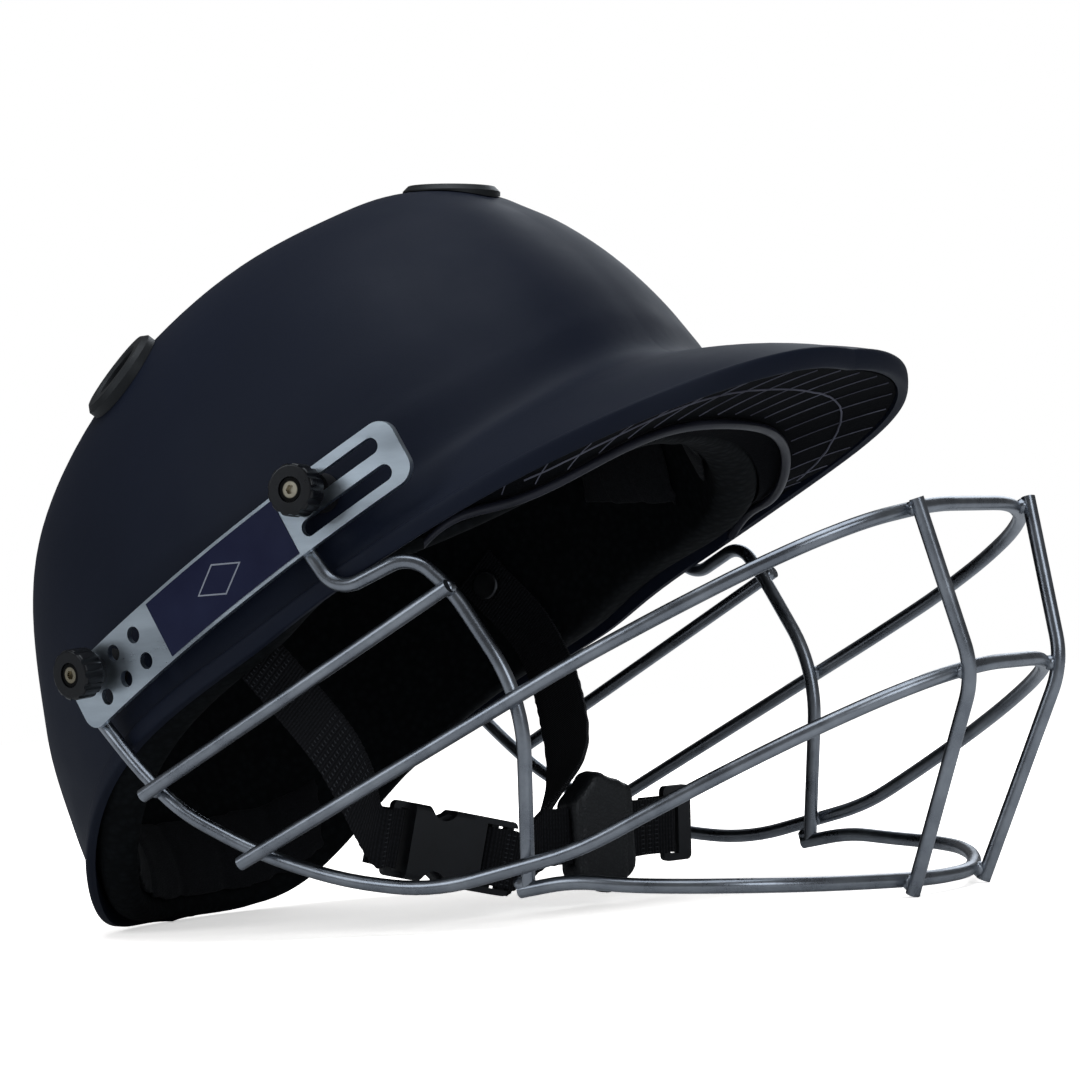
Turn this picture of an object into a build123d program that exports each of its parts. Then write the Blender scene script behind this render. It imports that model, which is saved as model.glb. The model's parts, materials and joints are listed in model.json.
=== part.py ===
from build123d import *
import os
from math import asin, atan2, cos, degrees, pi, radians, sin, sqrt, tan

# A batting helmet: a hard shell with a peak, a foam liner with comfort pads,
# a welded wire face guard held by four thumb knobs, and a buckled chin strap.
# It is modelled level, with X forward, Y to the wearer's left and Z up from the
# centre of the dome's widest level section, and then stood on its nape and guard.

# Shell
shell_half_width = 110.0
shell_front_reach = 117.0
shell_rear_reach = 160.0
shell_crown_height = 140.0
shell_skirt_depth = 125.0
shell_wall = 3.0
plan_roundness_share = 2.23
side_roundness_share = 2.0
end_roundness_share = 1.66
side_tuck_share = 0.12
rear_tuck_share = 0.24
peak_reach = 159.0
peak_crown_rise = 5.0
crease_blend = 14.0
lip_height = 7.0
lip_thickness = 3.6
lip_stand_off = 1.4

# One row for each station round the rim, from the brow at 0 degrees to the nape
# at 180: angle, rim height, lip reach (0 where the lip follows the dome) as a
# share of the peak's reach, then the crease above the lip and the brow edge
# below the rim. Heights are shares of the crown height.
rim_station_shares = (
    (0.0, 0.536, 1.000, -0.022, 0.186),
    (15.0, 0.519, 1.009, -0.014, 0.180),
    (30.0, 0.432, 0.971, 0.025, 0.150),
    (45.0, 0.300, 0.868, 0.070, 0.105),
    (60.0, 0.160, 0.770, 0.100, 0.050),
    (75.0, 0.029, 0.0, 0.115, 0.0),
    (90.0, -0.107, 0.0, 0.115, 0.0),
    (105.0, -0.228, 0.0, 0.115, 0.0),
    (120.0, -0.364, 0.0, 0.115, 0.0),
    (135.0, -0.560, 0.0, 0.115, 0.0),
    (150.0, -0.780, 0.0, 0.115, 0.0),
    (165.0, -0.868, 0.0, 0.115, 0.0),
    (180.0, -0.880, 0.0, 0.115, 0.0),
)

# Liner and what lines the peak
fit_gap = 0.3
seat_gap = 0.1
dome_seat_gap = 0.2
liner_gap = 0.6
profile_count = 10
liner_thickness = 15.0
liner_edge_rise = 6.0
liner_edge_round = 5.0
peak_lining_thickness = 1.4
lining_gap = 1.2
lining_lift = 0.4
peak_lining_sag_share = 0.06
lining_drop = 1.0
piping_diameter = 3.4
bead_gap = 0.4
brow_roll_share = 0.22
brow_roll_start = 6.0

# Comfort pads, with the angles that they span round the rim
pad_thickness = 7.0
pad_edge_share = 0.45
pad_height = 28.0
pad_above_edge = 10.0
forehead_pad_half_span_deg = 45.0
nape_pad_half_span_deg = 30.0
side_pad_from_deg = 60.0
side_pad_to_deg = 90.0
pad_station_deg = 15.0
pad_gap = 0.9
side_pad_base = 30.0
crown_pad_inner_radius = 17.0
crown_pad_outer_radius = 38.0

# Vents: one at the crown and one each side at the back
vent_hole_diameter = 25.0
vent_bore_diameter = 20.0
vent_flange_diameter = 34.0
vent_flange_height = 3.8
vent_flange_bevel = 1.8
vent_flange_skirt = 2.4
vent_neck_gap = 0.4
vent_neck_length = 5.0
crown_vent_rise = 1.4
crown_vent_seat = 0.35
rear_vent_angle_deg = 147.0
rear_vent_height = 75.0

# Side plates, in a frame of their own: x along the plate, z across it
guard_slope_deg = 33.5
guard_back = 10.5
guard_rise = 7.3
plate_length = 158.0
plate_width = 22.5
plate_thickness = 2.0
plate_corner_radius = 6.0
plate_bend_radius = 400.0
plate_outside = 117.5
index_hole_diameter = 5.6
index_hole_pitch = 11.5
index_row_pitch = 10.0
index_first_hole = 42.0
index_hole_count = 3
slot_width = 5.6
slot_length = 37.0
slot_end_margin = 6.5
label_length = 62.0
label_thickness = 0.3
label_margin = 1.2

# Thumb knobs, their screws, and what the screws clamp
knob_diameter = 17.0
knob_height = 8.0
knob_collar_diameter = 11.5
knob_collar_height = 3.2
knob_flute_count = 12
knob_flute_radius = 1.5
knob_recess_diameter = 8.4
knob_recess_depth = 1.8
knob_edge_round = 1.0
screw_diameter = 5.0
screw_head_diameter = 7.6
screw_head_height = 1.3
screw_socket_diameter = 3.2
screw_clearance = 0.3
front_screw_place = 44.0
spacer_diameter = 13.0
nut_flange_diameter = 15.0
nut_flange_thickness = 1.2
nut_barrel_diameter = 7.6
screw_tip_beyond_nut = 1.5

# Face guard wires. Places are shares of the guard's reach, half width and drop,
# from the middle of the side plate: forward, outward, and down as negative.
guard_reach = 190.0
guard_half_width = 100.0
guard_drop = 190.0
wire_diameter = 4.7
weld_gap = 0.1
wire_run_share = 0.45
wire_end_length = 2.8
upright_bend_radius = 30.0

top_bar_shares = (
    (-0.262, 1.090, -0.412), (0.470, 0.986, -0.465), (0.640, 0.920, -0.480),
    (0.780, 0.815, -0.490), (0.880, 0.690, -0.497), (0.950, 0.540, -0.502),
    (1.000, 0.280, -0.506),
)
middle_arm_shares = (
    (-0.402, 1.062, -0.042), (-0.372, 1.068, -0.155), (-0.330, 1.072, -0.270),
    (-0.240, 1.040, -0.405), (-0.120, 1.015, -0.532), (0.030, 1.000, -0.640),
)
middle_bar_shares = (
    (0.300, 0.950, -0.722), (0.440, 0.885, -0.731), (0.580, 0.795, -0.740),
    (0.710, 0.670, -0.748), (0.810, 0.530, -0.755), (0.880, 0.380, -0.761),
    (0.920, 0.190, -0.766),
)
chin_bar_shares = (
    (0.155, 0.919, -0.716), (0.250, 0.915, -0.752), (0.335, 0.885, -0.812),
    (0.415, 0.820, -0.863), (0.480, 0.720, -0.905), (0.530, 0.580, -0.940),
    (0.575, 0.400, -0.972), (0.622, 0.140, -1.006),
)
temple_bar_shares = ((-0.370, 1.122, -0.211), (0.350, 1.042, -0.239))
upright_hook_shares = ((0.164, 1.118, -0.045), (0.175, 1.112, -0.140), (0.316, 1.045, -0.155))
upright_top_crossing = 0.347
upright_foot_crossing = 0.191
upright_foot_length = 8.5
front_crossing_shares = (0.380, 0.302, 0.235)

# Chin strap: webbing, side release buckle, chin cup and end slider
strap_width = 20.0
strap_thickness = 1.5
strap_anchor_back = 42.0
strap_anchor_out = 86.0
strap_tab_length = 9.0
web_lead = 6.0
tail_lead = 14.0
tail_rise = 6.0
stud_shank_diameter = 4.0
stud_head_diameter = 11.0
stud_head_height = 2.0
stud_hole_clearance = 0.3
stud_shank_length = 9.0
buckle_width = 25.0
buckle_depth = 9.6
buckle_corner_radius = 2.2
female_length = 31.0
male_base_length = 6.0
male_depth = 7.0
ladder_slot_width = 3.4
mating_gap = 0.3
end_bar_width = 3.0
end_bar_depth = 2.6
web_slot_width = 3.8
web_slot_play = 1.0
housing_wall = 1.6
scoop_radius = 5.6
scoop_place = 18.5
tongue_length = 15.0
tongue_width = 3.6
tongue_depth = 3.0
window_from = 13.5
window_to = 24.0
scoop_stand_off = 1.5
prong_length = 18.3
prong_width = 2.0
prong_depth = 4.6
prong_offset = 6.6
prong_head_length = 8.5
prong_head_reach = 3.3
prong_root_radius = 1.5
prong_root_inset = 2.0
prong_play = 0.3
web_loop_radius = 2.8
tail_length = 68.0
tail_return = 9.0
slider_length = 12.0
slider_width = 26.0
slider_depth = 2.6
slider_bar_width = 2.6
slider_corner_radius = 2.0
cup_place = 37.0
cup_half_length = 14.0
cup_half_height = 21.5
cup_thickness = 11.0
cup_corner_radius = 4.0
cup_channel_play = 0.35
cup_edge_round = 2.6
cup_back_share = 0.62
cup_outline_shares = (
    (-1.00, 0.50), (-0.20, 1.00), (0.90, 0.72), (1.00, -0.62), (0.30, -1.00), (-0.85, -0.70),
)
buckle_start_forward = 29.0
buckle_start_out = 80.0
buckle_start_drop = 77.0
buckle_heading_shares = (0.33, 0.92, -0.21)
tail_heading_shares = (0.34, 0.94, 0.03)

# The straps' ribs: middle point as shares of the anchor's distances back and
# out and of the buckle's drop, then the way the webbing's width points.
right_strap_shares = (
    ((-1.00, -1.00, 0.00), (0.66, 0.00, 0.75)),
    ((-0.40, -0.995, -0.28), (0.66, 0.00, 0.75)),
    ((0.20, -0.985, -0.585), (0.66, 0.02, 0.75)),
    ((0.48, -0.99, -0.78), (0.50, 0.10, 0.86)),
)
left_strap_shares = (
    ((-1.00, 1.00, 0.00), (0.66, 0.00, 0.75)),
    ((-0.50, 0.985, -0.24), (0.66, 0.05, 0.75)),
    ((0.10, 0.74, -0.54), (0.72, 0.30, 0.62)),
    ((0.72, 0.30, -0.84), (0.60, 0.35, 0.72)),
)

# How far cutting tools run past what they cut
overrun = 2.0


def plan_radius(angle):
    reach = shell_front_reach if cos(angle) > 0 else shell_rear_reach
    power = plan_roundness_share
    along = (abs(cos(angle)) / reach) ** power
    across = (abs(sin(angle)) / shell_half_width) ** power
    return (along + across) ** (-1 / power)


def roundness(angle):
    return side_roundness_share + (end_roundness_share - side_roundness_share) * cos(angle) ** 2


def dome_radius(angle, height, inset=0):
    if height < 0:
        tuck = side_tuck_share + (rear_tuck_share - side_tuck_share) * cos(angle) ** 2
        share = 1 - tuck * (height / shell_skirt_depth) ** 2
    else:
        level = min(1, height / (shell_crown_height - inset))
        share = (1 - level ** roundness(angle)) ** (1 / roundness(angle))
    return (plan_radius(angle) - inset) * share


def dome_height(angle, radius, inset=0):
    level = radius / (plan_radius(angle) - inset)
    return (shell_crown_height - inset) * (1 - level ** roundness(angle)) ** (1 / roundness(angle))


def place(angle, point):
    return Vector(point[0] * cos(angle), point[0] * sin(angle), point[1])


def spread(path, count):
    """Points at even distances along a path of (radius, height) points."""
    run = [0]
    for (r0, z0), (r1, z1) in zip(path, path[1:]):
        run.append(run[-1] + sqrt((r1 - r0) ** 2 + (z1 - z0) ** 2))
    points = []
    k = 1
    for i in range(count):
        target = run[-1] * i / (count - 1)
        while k < len(run) - 1 and run[k] < target:
            k += 1
        share = (target - run[k - 1]) / (run[k] - run[k - 1])
        (r0, z0), (r1, z1) = path[k - 1], path[k]
        points.append((r0 + share * (r1 - r0), z0 + share * (z1 - z0)))
    return points


def dome_profile(angle, bottom, inset, inner_radius, count):
    """Even points down the dome, from a radius at the crown to a height."""
    top = dome_height(angle, inner_radius, inset)
    fine = count * count
    path = [(inner_radius, top)]
    for i in range(1, fine + 1):
        height = bottom + (top - bottom) * (1 - (i / fine) ** 2)
        path.append((dome_radius(angle, height, inset), height))
    return spread(path, count)


def row_at(turn):
    """The rim's row at any angle, straight between its neighbours."""
    turn = abs((turn + 180) % 360 - 180)
    rows = list(rim_station_shares)
    after = next(i for i, row in enumerate(rows) if row[0] >= turn)
    if rows[after][0] == turn:
        return rows[after]
    a, b = rows[after - 1], rows[after]
    share = (turn - a[0]) / (b[0] - a[0])
    mixed = [u + share * (v - u) for u, v in zip(a, b)]
    mixed[2] = (lip_of(a) + share * (lip_of(b) - lip_of(a))) / peak_reach
    return tuple(mixed)


def lip_of(row):
    if row[2]:
        return row[2] * peak_reach
    return dome_radius(radians(row[0]), row[1] * shell_crown_height + lip_height) + lip_stand_off


def brow_edge(turn):
    """Height of the head opening's edge, which lies below the rim at the peak."""
    row = row_at(turn)
    return (row[1] - row[4]) * shell_crown_height


def liner_edge(turn):
    return brow_edge(turn) + liner_edge_rise


def curve(angle, points, start_run, end_run):
    placed = [place(angle, point) for point in points]
    ends = [place(angle, start_run), place(angle, end_run)]
    steps = [i / (len(points) - 1) for i in range(len(points))]
    return Edge.make_spline(placed, tangents=ends, parameters=steps)


def free_curve(angle, points):
    placed = [place(angle, point) for point in points]
    steps = [i / (len(points) - 1) for i in range(len(points))]
    return Edge.make_spline(placed, parameters=steps)


def bend(angle, points):
    return Edge.make_bezier(*[place(angle, point) for point in points])


def line(angle, a, b):
    return Edge.make_line(place(angle, a), place(angle, b))


def crease_of(row):
    """Where the dome would meet the brim or the lip, before they are blended."""
    height = row[1] * shell_crown_height + lip_height + row[3] * shell_crown_height
    return dome_radius(radians(row[0]), height), height


def dome_line(turn):
    """The shell's outer face from the crown's hole down to the crease's blend."""
    angle = radians(turn)
    crease = crease_of(row_at(turn))
    outer = dome_profile(angle, crease[1] + crease_blend, 0, vent_hole_diameter / 2, profile_count)
    down = (crease[0] - outer[-1][0], crease[1] - outer[-1][1])
    return outer, curve(angle, outer, (1, 0), down)


def shell_section(turn):
    """The wall's section at one angle: dome, crease, brim, lip and inner face."""
    row = row_at(turn)
    angle = radians(turn)
    rim = row[1] * shell_crown_height
    lip_top = rim + lip_height
    lip = lip_of(row)
    crease = crease_of(row)
    crease_height = crease[1]
    end = (lip - lip_thickness / 2, lip_top)
    run = sqrt((end[0] - crease[0]) ** 2 + (end[1] - crease[1]) ** 2)
    along = ((end[0] - crease[0]) / run, (end[1] - crease[1]) / run)
    flatness = max(0, along[0])
    inward = (along[1] * shell_wall, -along[0] * shell_wall)

    def on_brim(share, walls):
        r = crease[0] + (end[0] - crease[0]) * share + inward[0] * walls
        z = crease[1] + (end[1] - crease[1]) * share + inward[1] * walls
        return (r, z + peak_crown_rise * flatness * 4 * share * (1 - share))

    hole = vent_hole_diameter / 2
    start_height = crease_height + crease_blend
    inner_height = crease_height - shell_wall * flatness
    inner_crease = (dome_radius(angle, inner_height, shell_wall), inner_height)
    inner_start = start_height - shell_wall * flatness
    outer, outer_line = dome_line(turn)
    inner = dome_profile(angle, inner_start, shell_wall, hole, profile_count)
    foot = (lip - lip_thickness, rim)
    nose = (lip - lip_thickness / 2, rim)
    inner_down = (inner_crease[0] - inner[-1][0], inner_crease[1] - inner[-1][1])
    under = [foot, (foot[0], lip_top), on_brim(2 / 3, 1), on_brim(1 / 3, 1)]
    return Wire([
        outer_line,
        bend(angle, [outer[-1], crease, crease, on_brim(1 / 3, 0), on_brim(2 / 3, 0), end]),
        bend(angle, [end, (lip, lip_top), (lip, lip_top), (lip, rim), (lip, rim), nose]),
        line(angle, nose, foot),
        bend(angle, under + [inner_crease, inner_crease, inner[-1]]),
        curve(angle, inner, (1, 0), inner_down),
        line(angle, inner[0], outer[0]),
    ])


def layer_section(turn, outer_inset, inner_inset, hole):
    """A section of a thick layer under the dome, with a rounded lower edge."""
    angle = radians(turn)
    bottom = liner_edge(turn)
    outer = dome_profile(angle, bottom, outer_inset, hole, profile_count)
    inner = dome_profile(angle, bottom, inner_inset, hole, profile_count)
    low = bottom - liner_edge_round
    edge = [outer[-1], (outer[-1][0], low), (inner[-1][0], low), inner[-1]]
    down = (outer[-1][0] - outer[-2][0], outer[-1][1] - outer[-2][1])
    inner_down = (inner[-1][0] - inner[-2][0], inner[-1][1] - inner[-2][1])
    return Wire([
        curve(angle, outer, (1, 0), down),
        bend(angle, edge),
        curve(angle, inner, (1, 0), inner_down),
        line(angle, inner[0], outer[0]),
    ])


def whole_ring(section):
    """A loft of sections from the brow round to the nape, with its mirror image."""
    turns = [row[0] for row in rim_station_shares]
    turns = [-turns[1]] + turns + [360 - turns[-2]]
    half = Solid.make_loft([section(turn) for turn in turns])
    half = split(half, bisect_by=Plane.XZ, keep=Keep.BOTTOM)
    return solid_of(half + mirror(half, about=Plane.XZ))


def solid_of(shape):
    """The largest solid of a shape."""
    return max(shape.solids(), key=lambda solid: solid.volume)


def arc_loft(turns, section):
    return Solid.make_loft([section(turn) for turn in turns])


def even_turns(first, last, step):
    count = round((last - first) / step)
    return [first + (last - first) * i / count for i in range(count + 1)]


def pad_section(turn, low, high, swell):
    """A pad on the liner's inner face, thickest at the middle of its height."""
    angle = radians(turn)
    inset = shell_wall + liner_gap + liner_thickness + pad_gap
    outer = []
    inner = []
    for i in range(profile_count):
        share = i / (profile_count - 1)
        height = high + (low - high) * share
        thickness = pad_thickness * swell * (pad_edge_share + (1 - pad_edge_share) * sin(pi * share))
        outer.append((dome_radius(angle, height, inset), height))
        inner.append((outer[-1][0] - thickness, height))
    return Wire([
        free_curve(angle, outer),
        line(angle, outer[-1], inner[-1]),
        free_curve(angle, inner[::-1]),
        line(angle, inner[0], outer[0]),
    ])


def rim_pad(first, last, low, high):
    """A pad between two angles, lofted one station past each and cut back."""
    turns = even_turns(first - pad_station_deg, last + pad_station_deg, pad_station_deg)

    def section(turn):
        share = min(1, max(0, (turn - first) / (last - first)))
        swell = pad_edge_share + (1 - pad_edge_share) * sin(pi * share) ** 0.5
        return pad_section(turn, low(turn), high(turn), swell)

    pad = arc_loft(turns, section)
    for turn, side in ((first, 1), (last, -1)):
        angle = radians(turn)
        wall = Plane(origin=(0, 0, 0), z_dir=Vector(-sin(angle) * side, cos(angle) * side, 0))
        pad = split(pad, bisect_by=wall, keep=Keep.TOP)
    return solid_of(pad)


def crown_pad_section(turn):
    angle = radians(turn)
    inset = shell_wall + liner_gap + liner_thickness + pad_gap
    upper = []
    lower = []
    for i in range(profile_count):
        share = i / (profile_count - 1)
        radius = crown_pad_inner_radius + (crown_pad_outer_radius - crown_pad_inner_radius) * share
        thickness = pad_thickness * (pad_edge_share + (1 - pad_edge_share) * sin(pi * share))
        height = dome_height(angle, radius, inset)
        upper.append((radius, height))
        lower.append((radius, height - thickness))
    return Wire([
        free_curve(angle, upper),
        line(angle, upper[-1], lower[-1]),
        free_curve(angle, lower[::-1]),
        line(angle, lower[0], upper[0]),
    ])


def lining_ends(turn):
    """Where the lining's underside starts at the liner, and ends inside the lip."""
    row = row_at(turn)
    height = liner_edge(turn) - lining_drop
    near = dome_radius(radians(turn), height, shell_wall + liner_gap) + fit_gap
    far = lip_of(row) - lip_thickness - lining_gap
    return (near, height), (far, row[1] * shell_crown_height + lining_lift)


def lining_sag(turn):
    near, far = lining_ends(turn)
    return peak_lining_sag_share * (far[0] - near[0])


def lining_under(turn, radius):
    """Height of the lining's underside at one radius."""
    near, far = lining_ends(turn)
    share = (radius - near[0]) / (far[0] - near[0])
    return near[1] + share * (far[1] - near[1]) + 2 * share * (1 - share) * lining_sag(turn)


def brow_roll(turn):
    """How far out from the liner the bead lies, which is most at the brow."""
    inner = dome_radius(radians(turn), brow_edge(turn), shell_wall)
    return brow_roll_share * max(0, lip_of(row_at(turn)) - inner - brow_roll_start)


def piping_place(turn):
    """Middle of the bead under the lining, along the brow."""
    half = piping_diameter / 2
    radius = lining_ends(turn)[0][0] + half + brow_roll(turn)
    slope = (lining_under(turn, radius + half) - lining_under(turn, radius - half)) / piping_diameter
    return radius, lining_under(turn, radius) - (half + bead_gap) * sqrt(1 + slope ** 2)


def piping_section(turn):
    radius, height = piping_place(turn)
    angle = radians(turn)
    flat = Plane(origin=place(angle, (radius, height)), x_dir=place(angle, (1, 0)), z_dir=Vector(-sin(angle), cos(angle), 0))
    return Wire.make_circle(piping_diameter / 2, flat)


def lining_section(turn):
    """The panel under the peak, from the liner to the inside of the lip."""
    angle = radians(turn)
    near, far = lining_ends(turn)
    middle = ((far[0] + near[0]) / 2, (far[1] + near[1]) / 2 + lining_sag(turn))

    def lifted(point):
        return (point[0], point[1] + peak_lining_thickness)

    return Wire([
        bend(angle, [near, middle, far]),
        line(angle, far, lifted(far)),
        bend(angle, [lifted(far), lifted(middle), lifted(near)]),
        line(angle, lifted(near), near),
    ])


def dome_depth(point, inset=0):
    """How far a point lies outside the dome, level with it; negative inside."""
    angle = atan2(point.Y, point.X)
    radius = sqrt(point.X ** 2 + point.Y ** 2)
    return radius - dome_radius(angle, point.Z, inset)


def reach_dome(start, heading, inset=0):
    """Distance from a point outside the dome, along a heading, to the dome."""
    near = 0
    far = shell_half_width
    for _ in range(40):
        middle = (near + far) / 2
        if dome_depth(start + heading * middle, inset) > 0:
            near = middle
        else:
            far = middle
    return near


def dome_normal(angle, height):
    """Outward normal of the dome, from points a small share of its size away."""
    step_share = 0.001
    around = place(angle + step_share, (dome_radius(angle + step_share, height), height))
    back = place(angle - step_share, (dome_radius(angle - step_share, height), height))
    rise = shell_crown_height * step_share
    above = place(angle, (dome_radius(angle, height + rise), height + rise))
    below = place(angle, (dome_radius(angle, height - rise), height - rise))
    return (around - back).cross(above - below).normalized()


def rear_vent_frame(side):
    angle = radians(rear_vent_angle_deg * side)
    origin = place(angle, (dome_radius(angle, rear_vent_height), rear_vent_height))
    normal = dome_normal(angle, rear_vent_height)
    return Plane(origin=origin, x_dir=Vector(0, 0, 1).cross(normal), z_dir=normal)


def shell_height(turn, radius):
    """Height of the shell's outer face at a distance from the crown's axis."""
    edge = dome_line(turn)[1]
    near = 0
    far = 1
    for _ in range(20):
        middle = (near + far) / 2
        point = edge.position_at(middle)
        if sqrt(point.X ** 2 + point.Y ** 2) < radius:
            near = middle
        else:
            far = middle
    return edge.position_at(near).Z


def crown_vent_section(turn):
    """The crown grommet at one angle; its flange's underside follows the dome."""
    angle = radians(turn)
    bore = vent_bore_diameter / 2
    neck = vent_hole_diameter / 2 - vent_neck_gap
    flange = vent_flange_diameter / 2
    low = dome_height(0, vent_hole_diameter / 2) - vent_neck_length
    top = shell_crown_height + crown_vent_rise
    outline = [
        (bore, low), (neck, low), (neck, shell_height(turn, neck) + crown_vent_seat),
        (flange, shell_height(turn, flange) + crown_vent_seat), (flange, top - vent_flange_bevel),
        (flange - vent_flange_bevel, top), (bore + vent_flange_bevel / 2, top),
        (bore, top - vent_flange_bevel / 2),
    ]
    return Wire.make_polygon([place(angle, point) for point in outline], close=True)


def vent_ring():
    """A bevelled rubber grommet, with its flange above and its neck below."""
    bore = vent_bore_diameter / 2
    neck = vent_hole_diameter / 2 - vent_neck_gap
    flange = vent_flange_diameter / 2
    top = vent_flange_height
    outline = [
        (bore, -vent_neck_length), (neck, -vent_neck_length), (neck, -vent_flange_skirt),
        (flange, -vent_flange_skirt), (flange, top - vent_flange_bevel),
        (flange - vent_flange_bevel, top), (bore + vent_flange_bevel / 2, top),
        (bore, top - vent_flange_bevel / 2),
    ]
    face = make_face(Polyline(*[(x, 0, z) for x, z in outline], close=True))
    return revolve(face, axis=Axis.Z)


def fit_vent(frame, shell):
    """A grommet whose flange is cut to the shell's surface."""
    ring = frame.location * vent_ring()
    ring = solid_of(ring - shell)
    return ring.moved(Location(frame.z_dir * seat_gap))


# Side plates

guard_frame = Location((-guard_back, 0, guard_rise), (0, -guard_slope_deg, 0))


def in_guard(shape):
    return guard_frame * shape


def plate_point(place_along, across, beyond=0):
    """A point on the left plate's outer face, or beyond it along its normal."""
    turn = place_along / plate_bend_radius
    radius = plate_bend_radius + beyond
    middle = plate_outside - plate_bend_radius
    return Vector(radius * sin(turn), middle + radius * cos(turn), across)


def plate_normal(place_along):
    turn = place_along / plate_bend_radius
    return Vector(sin(turn), cos(turn), 0)


def plate_band(inner, outer, across):
    """A band of the cylinder that the side plate is bent to."""
    ring = Circle(plate_bend_radius + outer) - Circle(plate_bend_radius + inner)
    band = extrude(ring, amount=across / 2, both=True)
    return Pos(0, plate_outside - plate_bend_radius, 0) * band


def plate_prism(outline, depth):
    """A flat outline in X and Z, pushed through the plate's thickness."""
    solid = extrude(Plane.XZ * outline, amount=depth, both=True)
    return Pos(0, plate_outside, 0) * solid


def hole_through_plate(place_along, across, diameter, depth):
    axis = Plane(origin=plate_point(place_along, across), x_dir=(0, 0, 1), z_dir=plate_normal(place_along))
    return axis.location * Cylinder(diameter / 2, depth)


def side_plate():
    """The left plate: rear index holes in two rows, front slots in two rows."""
    depth = plate_length / 4
    outline = RectangleRounded(plate_length, plate_width, plate_corner_radius)
    solid = plate_prism(outline, depth) & plate_band(-plate_thickness, 0, plate_width * 2)
    slot_middle = plate_length / 2 - slot_end_margin - slot_length / 2
    for row in (-1, 1):
        across = row * index_row_pitch / 2
        for i in range(index_hole_count):
            along = -index_first_hole - i * index_hole_pitch
            solid -= hole_through_plate(along, across, index_hole_diameter, depth)
        slot = Pos(slot_middle, across) * SlotOverall(slot_length, slot_width)
        solid -= plate_prism(slot, depth)
    return solid_of(solid)


def plate_label():
    depth = plate_length / 4
    outline = Rectangle(label_length, plate_width - label_margin * 2)
    solid = plate_prism(outline, depth) & plate_band(0, label_thickness, plate_width * 2)
    return solid_of(solid)


def screw_frame(place_along):
    """Where a screw crosses the left plate's outer face, with Z outward."""
    across = index_row_pitch / 2
    return Plane(
        origin=plate_point(place_along, across),
        x_dir=(0, 0, 1),
        z_dir=plate_normal(place_along),
    )


rear_screw_place = -(index_first_hole + (index_hole_count - 1) * index_hole_pitch)


def stand(diameter, bottom, top):
    """An upright cylinder between two heights."""
    height = top - bottom
    return Pos(0, 0, (top + bottom) / 2) * Cylinder(diameter / 2, height)


def thumb_knob():
    """A fluted knob on a plain collar, with a recess for the screw's head."""
    base = seat_gap
    top = base + knob_collar_height + knob_height
    grip = stand(knob_diameter, base + knob_collar_height, top)
    grip = fillet(grip.edges().filter_by(GeomType.CIRCLE), knob_edge_round)
    ring = PolarLocations(knob_diameter / 2 + knob_flute_radius / 2, knob_flute_count)
    flute = stand(knob_flute_radius * 2, base + knob_collar_height - overrun, top + overrun)
    for spot in ring:
        grip -= spot * flute
    knob = grip + stand(knob_collar_diameter, base, base + knob_collar_height + overrun)
    knob -= stand(knob_recess_diameter, top - knob_recess_depth, top + overrun)
    knob -= stand(screw_diameter + weld_gap * 2, -overrun, top + overrun)
    return solid_of(knob)


def knob_screw(tip):
    """The screw under the knob, down to a tip inside the shell."""
    top = seat_gap + knob_collar_height + knob_height - knob_recess_depth + seat_gap
    head = stand(screw_head_diameter, top, top + screw_head_height)
    socket = Pos(0, 0, top + screw_head_height) * extrude(RegularPolygon(screw_socket_diameter / 2, 6), amount=screw_head_height, both=True)
    return solid_of(head + stand(screw_diameter, -tip, top + overrun / 4) - socket)


# Guard wires

def guard_points(shares):
    return [Vector(x * guard_reach, y * guard_half_width, z * guard_drop) for x, y, z in shares]


def bend_radii(points, largest):
    """Bends that each use the same share of the shorter run beside them."""
    radii = []
    for before, corner, after in zip(points, points[1:], points[2:]):
        a = corner - before
        b = after - corner
        turn = radians(a.get_angle(b))
        radii.append(min(largest, wire_run_share * min(a.length, b.length) / tan(turn / 2)))
    return radii


def wire(points, diameter=wire_diameter, largest=guard_reach):
    """A round wire along straight runs joined by arcs."""
    flat = Plane(origin=points[0], z_dir=points[1] - points[0])
    if len(points) == 2:
        path = Line(*points)
    else:
        path = FilletPolyline(*points, radius=bend_radii(points, largest))
    return solid_of(sweep(flat * Circle(diameter / 2), path=path))


def both_sides(points):
    """A bar's points from its left end, over the middle, to its right end."""
    return points + [Vector(p.X, -p.Y, p.Z) for p in reversed(points)]


def point_at(points, forward):
    """The point of a bar where it passes a distance forward."""
    pairs = list(zip(points, points[1:]))
    a, b = next((a, b) for a, b in pairs if a.X <= forward <= b.X)
    return a + (b - a) * ((forward - a.X) / (b.X - a.X))


def crossing_out(points, out):
    """Where a bar passes a distance outward near the front, and its heading there."""
    pairs = list(zip(points, points[1:]))
    a, b = next((a, b) for a, b in reversed(pairs) if a.Y >= out >= b.Y)
    return a + (b - a) * ((out - a.Y) / (b.Y - a.Y)), (b - a).normalized()


def behind_plate(point):
    """The same place on the plate's length and width, against its inner face."""
    radius = plate_bend_radius - plate_thickness - weld_gap - wire_diameter / 2
    out = sqrt(radius ** 2 - point.X ** 2) + plate_outside - plate_bend_radius
    return Vector(point.X, out, point.Z)


top_bar_points = guard_points(top_bar_shares)
middle_bar_points = guard_points(middle_arm_shares) + guard_points(middle_bar_shares)
middle_bar_points[0] = behind_plate(middle_bar_points[0])
chin_bar_points = guard_points(chin_bar_shares)
temple_bar_points = guard_points(temple_bar_shares)
wire_step = wire_diameter + weld_gap


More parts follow.
